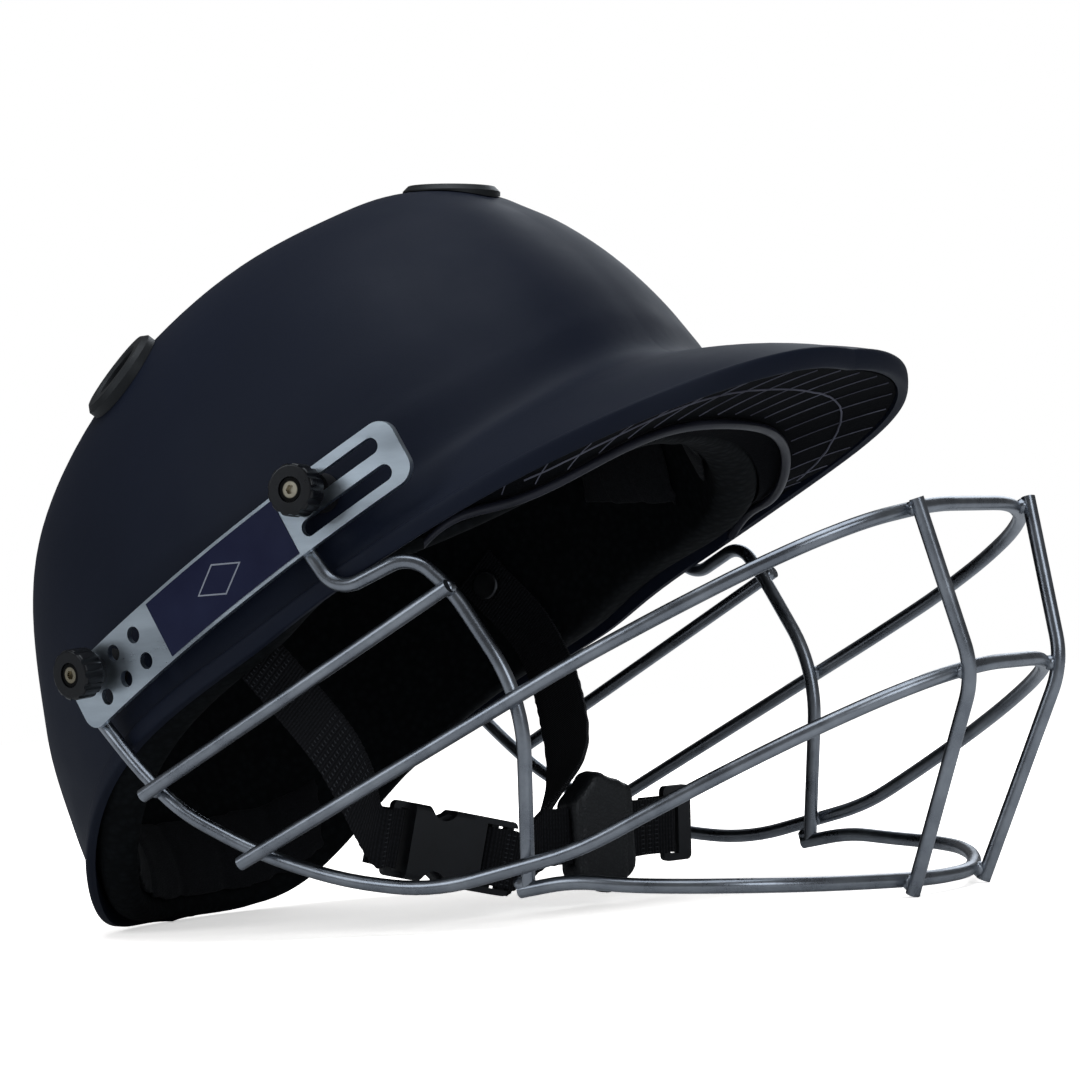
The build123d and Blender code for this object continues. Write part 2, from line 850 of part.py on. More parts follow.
def side_upright_points():
    """The left hook and upright, inside the bars that it carries."""
    hook = guard_points(upright_hook_shares)
    top = point_at(top_bar_points, upright_top_crossing * guard_reach)
    temple = temple_bar_points[-1]
    foot = point_at(middle_bar_points, upright_foot_crossing * guard_reach)
    inset = Vector(0, -wire_step, 0)
    shoulder = temple + inset - Vector(wire_diameter / 2, 0, 0)
    last = (foot - top).normalized() * upright_foot_length
    return [behind_plate(hook[0])] + hook[1:] + [shoulder, top + inset, foot + inset + last]


def front_upright_points():
    """The left front upright, outside the three bars that it joins."""
    outs = [share * guard_half_width for share in front_crossing_shares]
    bars = (top_bar_points, middle_bar_points, chin_bar_points)
    crossings = [crossing_out(bar, out) for bar, out in zip(bars, outs)]
    upper = (crossings[1][0] - crossings[0][0]).normalized()
    lower = (crossings[2][0] - crossings[1][0]).normalized()
    half_turn = radians(upper.get_angle(lower)) / 2
    bulge = upright_bend_radius * (1 / cos(half_turn) - 1)
    points = []
    for (point, heading), run, extra in zip(crossings, (upper, upper + lower, lower), (0, bulge, 0)):
        ahead = run.cross(heading).normalized()
        if ahead.X < 0:
            ahead = ahead * -1
        points.append(point + ahead * (wire_step + extra))
    first = points[0] - (points[1] - points[0]).normalized() * wire_end_length
    last = points[2] + (points[2] - points[1]).normalized() * wire_end_length
    return [first, points[1], last]


def coped(bar, joined):
    """A bar cut short where it meets another wire, leaving the weld's gap."""
    return solid_of(bar - joined)


def guard_wires():
    """The wires of the guard in the plates' frame; the sides are the left ones."""
    arm = both_sides(middle_bar_points)
    chin = both_sides(chin_bar_points)
    chin_cutter = wire(chin, wire_diameter + weld_gap * 2)
    return {
        "guard_top_bar": wire(both_sides(top_bar_points)),
        "guard_middle_bar": wire(arm),
        "guard_chin_bar": wire(chin),
        "guard_temple_bar": wire(temple_bar_points),
        "guard_side_upright": coped(wire(side_upright_points()), chin_cutter),
        "guard_front_upright": wire(front_upright_points(), largest=upright_bend_radius),
    }


# Chin strap

def strap_frame(origin, heading):
    """X along the webbing, Y up its width and Z away from the face."""
    return Plane(origin=origin, x_dir=heading, z_dir=heading.cross(Vector(0, 0, 1)))


buckle_start = Vector(buckle_start_forward, -buckle_start_out, -buckle_start_drop)
buckle_frame = strap_frame(buckle_start, Vector(*buckle_heading_shares))


def in_frame(frame, x, y, z):
    return frame.origin + frame.x_dir * x + frame.y_dir * y + frame.z_dir * z


male_start = female_length + mating_gap
ladder_bar = male_start + male_base_length + ladder_slot_width + end_bar_width / 2
male_length = male_base_length + (ladder_slot_width + end_bar_width) * 2
web_level = web_loop_radius
tail_start = in_frame(buckle_frame, male_start + male_length, 0, web_level)
tail_frame = strap_frame(tail_start + Vector(0, 0, tail_rise), Vector(*tail_heading_shares))


def web_section(point, width_way, travel):
    thick_way = travel.cross(width_way).normalized() * (strap_thickness / 2)
    across = width_way.normalized() * (strap_width / 2)
    corners = [point + across + thick_way, point - across + thick_way]
    corners += [point - across - thick_way, point + across - thick_way]
    return Wire.make_polygon(corners, close=True)


def webbing(rows):
    """A ribbon through rows of (middle point, width direction)."""
    points = [row[0] for row in rows]
    before = [points[0]] + points[:-1]
    after = points[1:] + [points[-1]]
    sections = []
    for (point, width_way), a, b in zip(rows, before, after):
        sections.append(web_section(point, width_way, b - a))
    return Solid.make_loft(sections)


def strap_rows(shares):
    """Rows of a strap, from behind its stud to the last one before the buckle."""
    rows = []
    for (back, out, down), width_way in shares:
        point = Vector(back * strap_anchor_back, out * strap_anchor_out, down * buckle_start_drop)
        rows.append((point, Vector(*width_way)))
    step = (rows[1][0] - rows[0][0]).normalized() * strap_tab_length
    return [(rows[0][0] - step, rows[0][1])] + rows


def hairpin(bar, mouth, upper, lower):
    """Webbing turned round a bar; its two layers run from the bar towards the mouth."""
    radius = web_loop_radius
    ring = Circle(radius + strap_thickness / 2) - Circle(radius - strap_thickness / 2)
    half = Pos(-mouth * radius * 2, 0) * Rectangle(radius * 4, radius * 4)
    profile = ring & half
    for length, level in ((upper, radius), (lower, -radius)):
        profile += Pos(mouth * length / 2, level) * Rectangle(length, strap_thickness)
    band = extrude(Plane.XZ * profile, amount=strap_width / 2, both=True)
    return Pos(bar, 0, 0) * band


def stud_hole(side):
    anchor = (-strap_anchor_back, side * strap_anchor_out, 0)
    return Pos(*anchor) * Rot(90, 0, 0) * Cylinder(stud_shank_diameter / 2 + stud_hole_clearance, strap_width)


def near_strap():
    """The right strap, from its stud to the loop round the buckle's end bar."""
    lead = web_lead
    rows = strap_rows(right_strap_shares)
    rows.append((in_frame(buckle_frame, -lead, 0, web_level), buckle_frame.y_dir))
    bar = end_bar_width / 2
    loop = buckle_frame.location * hairpin(bar, -1, lead + bar, lead)
    return solid_of(webbing(rows) + loop - stud_hole(-1))


def far_strap():
    """The left strap: stud, ladder, then the tail through the cup to the slider."""
    end = male_start + male_length
    rows = strap_rows(left_strap_shares)
    rows.append((in_frame(buckle_frame, end + web_lead, 0, -web_level), buckle_frame.y_dir))
    rows.append((in_frame(buckle_frame, end, 0, -web_level), buckle_frame.y_dir))
    loop = buckle_frame.location * hairpin(ladder_bar, 1, end - ladder_bar, end - ladder_bar)
    rise = [(in_frame(buckle_frame, end, 0, web_level), buckle_frame.y_dir)]
    rise.append((in_frame(buckle_frame, end + web_lead / 2, 0, web_level), buckle_frame.y_dir))
    rise.append((in_frame(tail_frame, tail_lead, 0, 0), tail_frame.y_dir))
    rise.append((in_frame(tail_frame, tail_lead + web_lead / 2, 0, 0), tail_frame.y_dir))
    straight = tail_length - tail_lead - web_lead / 2
    turn = Pos(0, 0, -web_level) * hairpin(tail_length, -1, straight, tail_return)
    tail = tail_frame.location * turn
    return solid_of(webbing(rows) + loop + webbing(rise) + tail - stud_hole(1))


def block(x0, x1, half_width, half_depth):
    return Pos((x0 + x1) / 2, 0, 0) * Box(x1 - x0, half_width * 2, half_depth * 2)


def buckle_female():
    """The socket half: end bar, webbing slot, and a housing open at one end."""
    half = buckle_width / 2
    opening = (strap_width + web_slot_play) / 2
    slot_end = end_bar_width + web_slot_width
    body = block(slot_end, female_length, half, buckle_depth / 2)
    body = fillet(body.edges().filter_by(Axis.X), buckle_corner_radius)
    frame = block(0, slot_end + housing_wall, half, end_bar_depth / 2)
    frame = fillet(frame.edges().filter_by(Axis.Z).group_by(Axis.X)[0], buckle_corner_radius)
    body += frame - block(end_bar_width, slot_end, opening, buckle_depth)
    cavity = slot_end + housing_wall
    body -= block(cavity, female_length + overrun, half - housing_wall * 2, buckle_depth / 2 - housing_wall)
    window = block(window_from, window_to, buckle_width, prong_depth / 2 + prong_play)
    body -= window
    for side in (-1, 1):
        scoop = Pos(scoop_place, side * (half + scoop_stand_off), 0) * Cylinder(scoop_radius, buckle_depth * 2)
        body -= scoop
    return solid_of(body)


def prong_root(side):
    return (male_start + prong_root_inset, side * prong_offset)


def buckle_male():
    """The plug half: base with a tongue, and a ladder for the webbing."""
    half = buckle_width / 2
    opening = (strap_width + web_slot_play) / 2
    end = male_start + male_length
    body = block(male_start, end, half, male_depth / 2)
    body = fillet(body.edges().filter_by(Axis.Z).group_by(Axis.X)[-1], buckle_corner_radius)
    base = male_start + male_base_length
    body -= block(base, base + ladder_slot_width, opening, male_depth)
    second = base + ladder_slot_width + end_bar_width
    body -= block(second, second + ladder_slot_width, opening, male_depth)
    for side in (-1, 1):
        level = side * (end_bar_depth / 2 + male_depth)
        body -= Pos(0, 0, level) * block(base + ladder_slot_width / 2, end + overrun, opening, male_depth)
    body += block(male_start - tongue_length, male_start + overrun, tongue_width / 2, tongue_depth / 2)
    for side in (-1, 1):
        x, y = prong_root(side)
        depth = prong_depth + prong_play * 2
        body -= Pos(x, y, 0) * Cylinder(prong_root_radius + prong_play, depth)
        arm = Rectangle(prong_root_inset * 2, (prong_width / 2 + prong_play * 3) * 2)
        body -= Pos(male_start, y, 0) * extrude(arm, amount=depth / 2, both=True)
    return solid_of(body)


def buckle_prong(side):
    """A sprung arm with a barbed head that snaps into the housing's window."""
    x, y = prong_root(side)
    half = prong_width / 2
    tip = x - prong_length
    head = tip + prong_head_length
    outline = [
        (x, -half), (x, half), (head, half), (head, half + prong_head_reach),
        (head - prong_head_length / 4, half + prong_head_reach), (tip, half), (tip, -half),
    ]
    face = make_face(Polyline(*[(px, y + side * py) for px, py in outline], close=True))
    arm = extrude(face, amount=prong_depth / 2, both=True)
    root = Pos(x, y, 0) * Cylinder(prong_root_radius, prong_depth)
    return solid_of(arm + root)


def chin_cup():
    """A soft six-sided pad with a channel that the tail runs through."""
    points = [(x * cup_half_length, y * cup_half_height) for x, y in cup_outline_shares]
    outline = make_face(Polyline(*points, close=True))
    outline = fillet(outline.vertices(), cup_corner_radius)
    solid = extrude(outline, amount=cup_thickness)
    rims = solid.edges().group_by(Axis.Z)
    solid = fillet(rims[0] + rims[-1], cup_edge_round)
    solid = Pos(0, 0, -cup_thickness * cup_back_share) * solid
    channel = block(-cup_half_length * 2, cup_half_length * 2, strap_width / 2 + cup_channel_play, strap_thickness / 2 + cup_channel_play)
    return Pos(cup_place, 0, 0) * solid_of(solid - channel)


def strap_slider():
    """The end slider: the webbing's turn sits round its inner bar."""
    opening = (strap_width + web_slot_play) / 2
    face = RectangleRounded(slider_length, slider_width, slider_corner_radius)
    solid = extrude(face, amount=slider_depth / 2, both=True)
    solid = Pos(slider_length / 2, 0, 0) * solid
    solid -= block(slider_bar_width, slider_bar_width + web_slot_width, opening, slider_depth)
    return Pos(tail_length - slider_bar_width / 2, 0, -web_level) * solid_of(solid)


def strap_stud(side):
    """A push stud whose head holds the strap's tab and whose shank is in the foam."""
    head = stand(stud_head_diameter, 0, stud_head_height)
    head = fillet(head.edges().group_by(Axis.Z)[-1], stud_head_height / 2)
    shank = stand(stud_shank_diameter, -stud_shank_length, stud_head_height / 2)
    stud = head + shank
    level = strap_thickness / 2 + fit_gap
    turned = Rot(90, 0, 0) * (Pos(0, 0, level) * stud)
    stud = Pos(-strap_anchor_back, strap_anchor_out, 0) * turned
    return stud if side > 0 else mirror(stud, about=Plane.XZ)


# Assembly

def screw_location(place_along):
    return guard_frame * screw_frame(place_along).location


def depths_round(place_along, diameter, inset=0):
    """Depths of the dome below points round a circle on the plate's outer face."""
    where = screw_location(place_along)
    inward = Plane(where).z_dir * -1
    depths = []
    for i in range(profile_count):
        turn = 2 * pi * i / profile_count
        spot = where * Pos(cos(turn) * diameter / 2, sin(turn) * diameter / 2, 0)
        depths.append(reach_dome(spot.position, inward, inset))
    depths.append(reach_dome(where.position, inward, inset))
    return depths


def fixings():
    """The left side's knobs, screws, spacers and tee nuts, and the holes they need."""
    pieces = {"spacers": [], "tee_nuts": []}
    holes = []
    pockets = []
    for name, along in (("front", front_screw_place), ("rear", rear_screw_place)):
        where = screw_location(along)
        outer = min(depths_round(along, spacer_diameter)) - dome_seat_gap
        inner = max(depths_round(along, nut_flange_diameter, shell_wall)) + dome_seat_gap
        tip = inner + nut_flange_thickness + screw_tip_beyond_nut
        bore = stand(screw_diameter + screw_clearance * 2, -tip - overrun, 0)
        spacer = stand(spacer_diameter, -outer, -plate_thickness - seat_gap)
        flange = stand(nut_flange_diameter, -inner - nut_flange_thickness, -inner)
        barrel = stand(nut_barrel_diameter, -inner - nut_flange_thickness, -outer - dome_seat_gap)
        hole = stand(nut_barrel_diameter + fit_gap * 2, -inner - overrun, -outer + overrun)
        pocket = stand(nut_flange_diameter + overrun, -tip - overrun, -inner + overrun)
        pieces["knob_" + name] = where * thumb_knob()
        pieces["knob_screw_" + name] = where * knob_screw(tip)
        pieces["spacers"].append(where * solid_of(spacer - bore))
        pieces["tee_nuts"].append(where * solid_of(flange + barrel - bore))
        holes.append(where * hole)
        pockets.append(where * pocket)
    return pieces, holes, pockets


def cut_both_sides(solid, tools):
    for tool in tools:
        solid = solid - tool - mirror(tool, about=Plane.XZ)
    return solid_of(solid)


def build_parts():
    """Every piece of the helmet in its level position, keyed by name."""
    parts = {}
    shell = whole_ring(shell_section)
    liner_from = shell_wall + liner_gap
    liner_to = liner_from + liner_thickness

    def liner_section(turn):
        return layer_section(turn, liner_from, liner_to, vent_hole_diameter / 2 + liner_gap)

    liner = whole_ring(liner_section)
    rear = rear_vent_frame(1)
    vent_bore = rear.location * stand(vent_hole_diameter, -liner_to * 2, shell_wall * 2)
    fitted, holes, pockets = fixings()
    parts["crown_vent"] = whole_ring(crown_vent_section)
    left_vent = fit_vent(rear, shell)
    shell = cut_both_sides(shell, [vent_bore] + holes)
    stud_bore = Pos(-strap_anchor_back, strap_anchor_out, 0) * Rot(90, 0, 0)
    stud_bore = stud_bore * stand(stud_shank_diameter + weld_gap * 2, -stud_shank_length * 2, 0)
    liner = cut_both_sides(liner, [vent_bore, stud_bore] + pockets)
    parts["shell"] = shell
    parts["impact_liner"] = liner
    turns = [t for t in range(-60, 61, 15)]
    parts["peak_piping"] = arc_loft(turns, piping_section)
    parts["peak_lining"] = arc_loft(turns, lining_section)

    def above_edge(turn):
        return brow_edge(turn) + pad_above_edge

    def above_pad(turn):
        return above_edge(turn) + pad_height

    def base(turn):
        return side_pad_base

    def base_top(turn):
        return side_pad_base + pad_height

    front = forehead_pad_half_span_deg
    back = nape_pad_half_span_deg
    parts["forehead_pad"] = rim_pad(-front, front, above_edge, above_pad)
    parts["nape_pad"] = rim_pad(180 - back, 180 + back, above_edge, above_pad)
    left = {"side_pad": rim_pad(side_pad_from_deg, side_pad_to_deg, base, base_top)}
    parts["crown_pad"] = whole_ring(crown_pad_section)
    left["rear_vent"] = left_vent
    left["side_plate"] = in_guard(side_plate())
    left["knob_front"] = fitted["knob_front"]
    left["knob_rear"] = fitted["knob_rear"]
    left["knob_screw_front"] = fitted["knob_screw_front"]
    left["knob_screw_rear"] = fitted["knob_screw_rear"]
    left["strap_stud"] = strap_stud(1)
    for name, solid in guard_wires().items():
        placed = in_guard(solid)
        if "bar" in name and "temple" not in name:
            parts[name] = placed
        else:
            left[name] = placed
    for name, solid in left.items():
        parts[name + "_left"] = solid
        parts[name + "_right"] = mirror(solid, about=Plane.XZ)
    for name in ("spacers", "tee_nuts"):
        pair = fitted[name]
        parts[name] = Compound(pair + [mirror(piece, about=Plane.XZ) for piece in pair])
    parts["plate_label_right"] = mirror(in_guard(plate_label()), about=Plane.XZ)
    parts["strap_right"] = near_strap()
    parts["strap_left"] = far_strap()
    parts["buckle_socket"] = buckle_frame.location * buckle_female()
    parts["buckle_plug"] = buckle_frame.location * buckle_male()
    parts["buckle_prong_upper"] = buckle_frame.location * buckle_prong(1)
    parts["buckle_prong_lower"] = buckle_frame.location * buckle_prong(-1)
    parts["chin_cup"] = tail_frame.location * chin_cup()
    parts["strap_slider"] = tail_frame.location * strap_slider()
    return parts


def lowest(shapes, tilt):
    return min((Rot(0, tilt, 0) * shape).bounding_box().min.Z for shape in shapes)


def resting_tilt(parts):
    """Nose-down turn, in degrees, that sets the nape and the guard on one level."""
    nape = [parts["shell"]]
    guard = [parts["guard_chin_bar"], parts["guard_front_upright_left"]]
    low, high = 0, 12
    for _ in range(14):
        middle = (low + high) / 2
        if lowest(nape, middle) < lowest(guard, middle):
            low = middle
        else:
            high = middle
    return (low + high) / 2


def resting_place(parts):
    tilt = Rot(0, resting_tilt(parts), 0)
    boxes = [(tilt * shape).bounding_box() for shape in parts.values()]
    x = (min(box.min.X for box in boxes) + max(box.max.X for box in boxes)) / 2
    y = (min(box.min.Y for box in boxes) + max(box.max.Y for box in boxes)) / 2
    z = min(box.min.Z for box in boxes)
    return Pos(-x, -y, -z) * tilt


def main():
    parts = build_parts()
    rest = resting_place(parts)
    os.makedirs("parts", exist_ok=True)
    for name, shape in parts.items():
        export_step(rest * shape, "parts/" + name + ".step")


if __name__ == "__main__":
    main()
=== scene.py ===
import json
from math import atan2, cos, degrees, exp, pi, radians, sin

import bpy
from mathutils import Matrix, Vector, noise
from mathutils.bvhtree import BVHTree


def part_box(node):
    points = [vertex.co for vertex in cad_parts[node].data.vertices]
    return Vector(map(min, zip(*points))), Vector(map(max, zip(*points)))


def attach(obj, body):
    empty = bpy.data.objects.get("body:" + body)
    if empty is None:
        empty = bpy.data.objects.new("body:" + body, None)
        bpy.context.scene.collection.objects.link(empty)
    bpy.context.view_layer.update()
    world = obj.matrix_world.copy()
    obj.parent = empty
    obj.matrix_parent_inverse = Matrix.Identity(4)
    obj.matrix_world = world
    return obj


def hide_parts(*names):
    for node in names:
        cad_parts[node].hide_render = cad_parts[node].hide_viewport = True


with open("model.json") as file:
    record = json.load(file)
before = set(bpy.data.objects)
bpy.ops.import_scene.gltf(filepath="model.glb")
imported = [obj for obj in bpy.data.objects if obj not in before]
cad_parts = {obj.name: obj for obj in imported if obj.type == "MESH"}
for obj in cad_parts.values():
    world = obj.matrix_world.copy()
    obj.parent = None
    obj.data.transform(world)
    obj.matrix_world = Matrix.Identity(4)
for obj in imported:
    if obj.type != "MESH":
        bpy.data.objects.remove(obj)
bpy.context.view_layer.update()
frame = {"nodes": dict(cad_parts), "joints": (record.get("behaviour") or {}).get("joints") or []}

cadNodes = frame["nodes"]
print("stage: frame loaded,", len(cadNodes), "nodes")


# Helpers for shader nodes, where an input is a plain value or another node's output

def addNode(tree, kind, inputs=None, **settings):
    node = tree.nodes.new("ShaderNode" + kind)
    for key, value in settings.items():
        setattr(node, key, value)
    for key, value in (inputs or {}).items():
        if isinstance(value, bpy.types.NodeSocket):
            tree.links.new(value, node.inputs[key])
        else:
            node.inputs[key].default_value = value
    return node


def startMaterial(name, color, roughness=0.5, metallic=0.0):
    mat = bpy.data.materials.new(name)
    mat.use_nodes = True
    mat.diffuse_color = color + (1,)
    shader = mat.node_tree.nodes["Principled BSDF"]
    shader.inputs["Base Color"].default_value = color + (1,)
    shader.inputs["Roughness"].default_value = roughness
    shader.inputs["Metallic"].default_value = metallic
    return mat, mat.node_tree, shader


def addCoords(tree, kind="Object", stretch=(1, 1, 1)):
    coords = addNode(tree, "TexCoord").outputs[kind]
    return addNode(tree, "Mapping", {"Vector": coords, "Scale": stretch}).outputs["Vector"]


def addNoise(tree, where, scale, detail, roughness=0.5):
    inputs = {"Vector": where, "Scale": scale, "Detail": detail, "Roughness": roughness}
    return addNode(tree, "TexNoise", inputs).outputs["Fac"]


# Domes at the cells' middles, or grooves along their edges
def addCells(tree, where, scale, reach, edges=False):
    feature = "DISTANCE_TO_EDGE" if edges else "F1"
    cells = addNode(tree, "TexVoronoi", {"Vector": where, "Scale": scale}, feature=feature)
    ends = (0, 1) if edges else (1, 0)
    return addRange(tree, cells.outputs["Distance"], *ends, 0, reach)


def addBands(tree, where, direction, scale, waver=0.0):
    inputs = {"Vector": where, "Scale": scale, "Distortion": waver, "Detail": 1.0}
    bands = addNode(tree, "TexWave", inputs, wave_type="BANDS", bands_direction=direction)
    return bands.outputs["Fac"]


# Most of a noise lies between 0.3 and 0.7
def addRange(tree, value, low, high, fromLow=0.3, fromHigh=0.7, curve="LINEAR"):
    inputs = {"Value": value, "From Min": fromLow, "From Max": fromHigh, "To Min": low, "To Max": high}
    return addNode(tree, "MapRange", inputs, interpolation_type=curve).outputs["Result"]


def addMath(tree, operation, first, second):
    return addNode(tree, "Math", {0: first, 1: second}, operation=operation).outputs[0]


def addTint(tree, shader, look, share):
    inputs = {"A": look["dark"] + (1,), "B": look["light"] + (1,), "Factor": share}
    tint = addNode(tree, "Mix", inputs, data_type="RGBA")
    tree.links.new(tint.outputs["Result"], shader.inputs["Base Color"])


def addRoughness(tree, shader, look, value, *fromRange):
    tree.links.new(addRange(tree, value, *look["rough"], *fromRange), shader.inputs["Roughness"])


def addBump(tree, shader, height, depth, strength=1.0):
    bump = addNode(tree, "Bump", {"Height": height, "Distance": depth, "Strength": strength})
    tree.links.new(bump.outputs["Normal"], shader.inputs["Normal"])


# Camera

cameraSet = {
    "place": (0.686044, -1.0415, 0.079572),
    "forward": (-0.543497, 0.838598, 0.036943),
    "up": (0.098187, 0.0, 0.995168),
    "lens": 120.6,
    "sensor": 36.0,
    "farthest": 50,
}


def makeCamera(view):
    data = bpy.data.cameras.new("productCamera")
    data.lens = view["lens"]
    data.sensor_width = view["sensor"]
    data.clip_end = view["farthest"]
    camera = bpy.data.objects.new("productCamera", data)
    bpy.context.scene.collection.objects.link(camera)
    back = -Vector(view["forward"]).normalized()
    right = Vector(view["up"]).cross(back).normalized()
    turn = Matrix((right, back.cross(right), back)).transposed().to_4x4()
    camera.matrix_world = Matrix.Translation(view["place"]) @ turn
    bpy.context.scene.camera = camera


makeCamera(cameraSet)


# Lamps, white surround and pale floor

studioSet = {
    "lamps": {
        "overhead": {"at": (0.10, -0.15, 1.5), "aim": (0, 0, 0.1), "size": 1.5, "watts": 11},
        "frontLeft": {"at": (-0.9, -1.4, 0.9), "aim": (0, 0, 0.12), "size": 0.9, "watts": 4.6},
        "frontRight": {"at": (1.5, -0.7, 0.7), "aim": (0, 0, 0.1), "size": 0.8, "watts": 4.2},
        "behind": {"at": (-0.3, 1.5, 0.9), "aim": (0, 0, 0.12), "size": 1.0, "watts": 5},
    },
    "lampTint": (0.86, 0.925, 1.0),
    "fillTint": (0.95, 0.97, 1.0, 1), "fillStrength": 0.12,
    "floorWidth": 14, "floorTone": 2.05, "floorBounce": (0.8, 0.8, 0.8),
    "floorGlow": (0.54, 1.0), "floorFade": (0.33, 0.95),  # the glow grows between two distances
}


def makeLamps(studio):
    for name, lamp in studio["lamps"].items():
        data = bpy.data.lights.new(name, "AREA")
        data.shape = "DISK"
        data.size = lamp["size"]
        data.energy = lamp["watts"]
        data.color = studio["lampTint"]
        obj = bpy.data.objects.new(name, data)
        bpy.context.scene.collection.objects.link(obj)
        obj.location = lamp["at"]
        aim = Vector(lamp["aim"]) - Vector(lamp["at"])
        obj.rotation_euler = aim.to_track_quat("-Z", "Y").to_euler()


# The camera sees a white surround, and the object gets only a little light from it
def makeWorld(studio):
    world = bpy.data.worlds.new("studioWorld")
    bpy.context.scene.world = world
    world.use_nodes = True
    tree = world.node_tree
    tree.nodes.clear()
    path = addNode(tree, "LightPath").outputs
    seen = addMath(tree, "MAXIMUM", path["Is Camera Ray"], path["Is Transmission Ray"])
    white = addNode(tree, "Background", {"Color": (1, 1, 1, 1), "Strength": 1.0})
    fill = addNode(tree, "Background", {"Color": studio["fillTint"], "Strength": studio["fillStrength"]})
    mix = addNode(tree, "MixShader", {0: seen, 1: fill.outputs[0], 2: white.outputs[0]})
    addNode(tree, "OutputWorld", {0: mix.outputs[0]})


# The camera sees the floor's own shade plus a glow that hides its far edge in white
def makeFloor(studio):
    bpy.ops.object.select_all(action="DESELECT")
    bpy.ops.mesh.primitive_plane_add(size=studio["floorWidth"], location=(0, 0, 0))
    floor = bpy.context.object
    floor.name = "studioFloor"
    mat = bpy.data.materials.new("paleFloor")
    mat.use_nodes = True
    tree = mat.node_tree
    tree.nodes.clear()
    tone = tuple(studio["floorTone"] / tint for tint in studio["lampTint"])
    coords = addNode(tree, "TexCoord").outputs["Object"]
    away = addNode(tree, "VectorMath", {0: coords}, operation="LENGTH").outputs["Value"]
    fade = addRange(tree, away, *studio["floorGlow"], *studio["floorFade"], "SMOOTHSTEP")
    paint = addNode(tree, "BsdfDiffuse", {"Color": tone + (1,)})
    glow = addNode(tree, "Emission", {"Strength": fade})
    shown = addNode(tree, "AddShader", {0: paint.outputs[0], 1: glow.outputs[0]})
    bounce = addNode(tree, "BsdfDiffuse", {"Color": studio["floorBounce"] + (1,)})
    seen = addNode(tree, "LightPath").outputs["Is Camera Ray"]
    mix = addNode(tree, "MixShader", {0: seen, 1: bounce.outputs[0], 2: shown.outputs[0]})
    addNode(tree, "OutputMaterial", {0: mix.outputs[0]})
    floor.data.materials.append(mat)


makeLamps(studioSet)
makeWorld(studioSet)
makeFloor(studioSet)
bpy.context.scene.view_settings.view_transform = "Standard"
print("stage: camera, lights and floor")


# Shell's dark navy cover. In every look, a noise is (scale, detail) or (scale, detail, roughness).

shellPaint = {
    "dark": (0.0056, 0.0088, 0.0205), "light": (0.0082, 0.0124, 0.0280), "rough": (0.54, 0.64),
    "gloss": 0.20, "cloud": (9, 4), "wear": (30, 5), "grain": (1500, 2), "depth": 0.00004, "bump": 0.7,
}


def makeShellPaint(look):
    mat, tree, shader = startMaterial("navyShellCloth", look["dark"])
    where = addCoords(tree)
    addTint(tree, shader, look, addRange(tree, addNoise(tree, where, *look["cloud"]), 0, 1))
    addRoughness(tree, shader, look, addNoise(tree, where, *look["wear"]))
    addBump(tree, shader, addNoise(tree, where, *look["grain"]), look["depth"], look["bump"])
    shader.inputs["Specular IOR Level"].default_value = look["gloss"]
    return mat


# Knitted cloth of the comfort pads and the peak's lining

clothSet = {
    "padCloth": {
        "dark": (0.0045, 0.005, 0.0065), "light": (0.012, 0.0125, 0.015),
        "pitch": 1600, "depth": 0.00012, "gloss": 0.3, "sheen": 0.04,
    },
    "peakCloth": {
        "dark": (0.002, 0.0022, 0.0032), "light": (0.0045, 0.005, 0.007),
        "pitch": 1250, "depth": 0.00010, "gloss": 0.06, "sheen": 0.0,
    },
}
clothWeave = {
    "rough": 0.9, "sheenRough": 0.5, "cellReach": 0.8,
    "fuzz": (260, 4), "fuzzTint": (0.5, 1), "fuzzHeight": 0.5,
}


def makeKnit(name, look, weave):
    mat, tree, shader = startMaterial(name, look["dark"], weave["rough"])
    where = addCoords(tree)
    cell = addCells(tree, where, look["pitch"], weave["cellReach"])
    fuzz = addNoise(tree, where, *weave["fuzz"])
    addTint(tree, shader, look, addMath(tree, "MULTIPLY", cell, addRange(tree, fuzz, *weave["fuzzTint"])))
    height = addMath(tree, "ADD", cell, addMath(tree, "MULTIPLY", fuzz, weave["fuzzHeight"]))
    addBump(tree, shader, height, look["depth"])
    shader.inputs["Specular IOR Level"].default_value = look["gloss"]
    shader.inputs["Sheen Weight"].default_value = look["sheen"]
    shader.inputs["Sheen Roughness"].default_value = weave["sheenRough"]
    return mat


# Beaded foam of the impact liner

foamSet = {
    "dark": (0.004, 0.0048, 0.0055), "light": (0.009, 0.0108, 0.0125), "rough": 0.85, "gloss": 0.12,
    "bead": 330, "beadReach": 0.7, "depth": 0.00035, "bump": 0.6,
}


def makeFoam(look):
    mat, tree, shader = startMaterial("beadFoam", look["dark"], look["rough"])
    cell = addCells(tree, addCoords(tree), look["bead"], look["beadReach"])
    addTint(tree, shader, look, cell)
    addBump(tree, shader, cell, look["depth"], look["bump"])
    shader.inputs["Specular IOR Level"].default_value = look["gloss"]
    return mat


# Bare metals, with patches and fine scratches

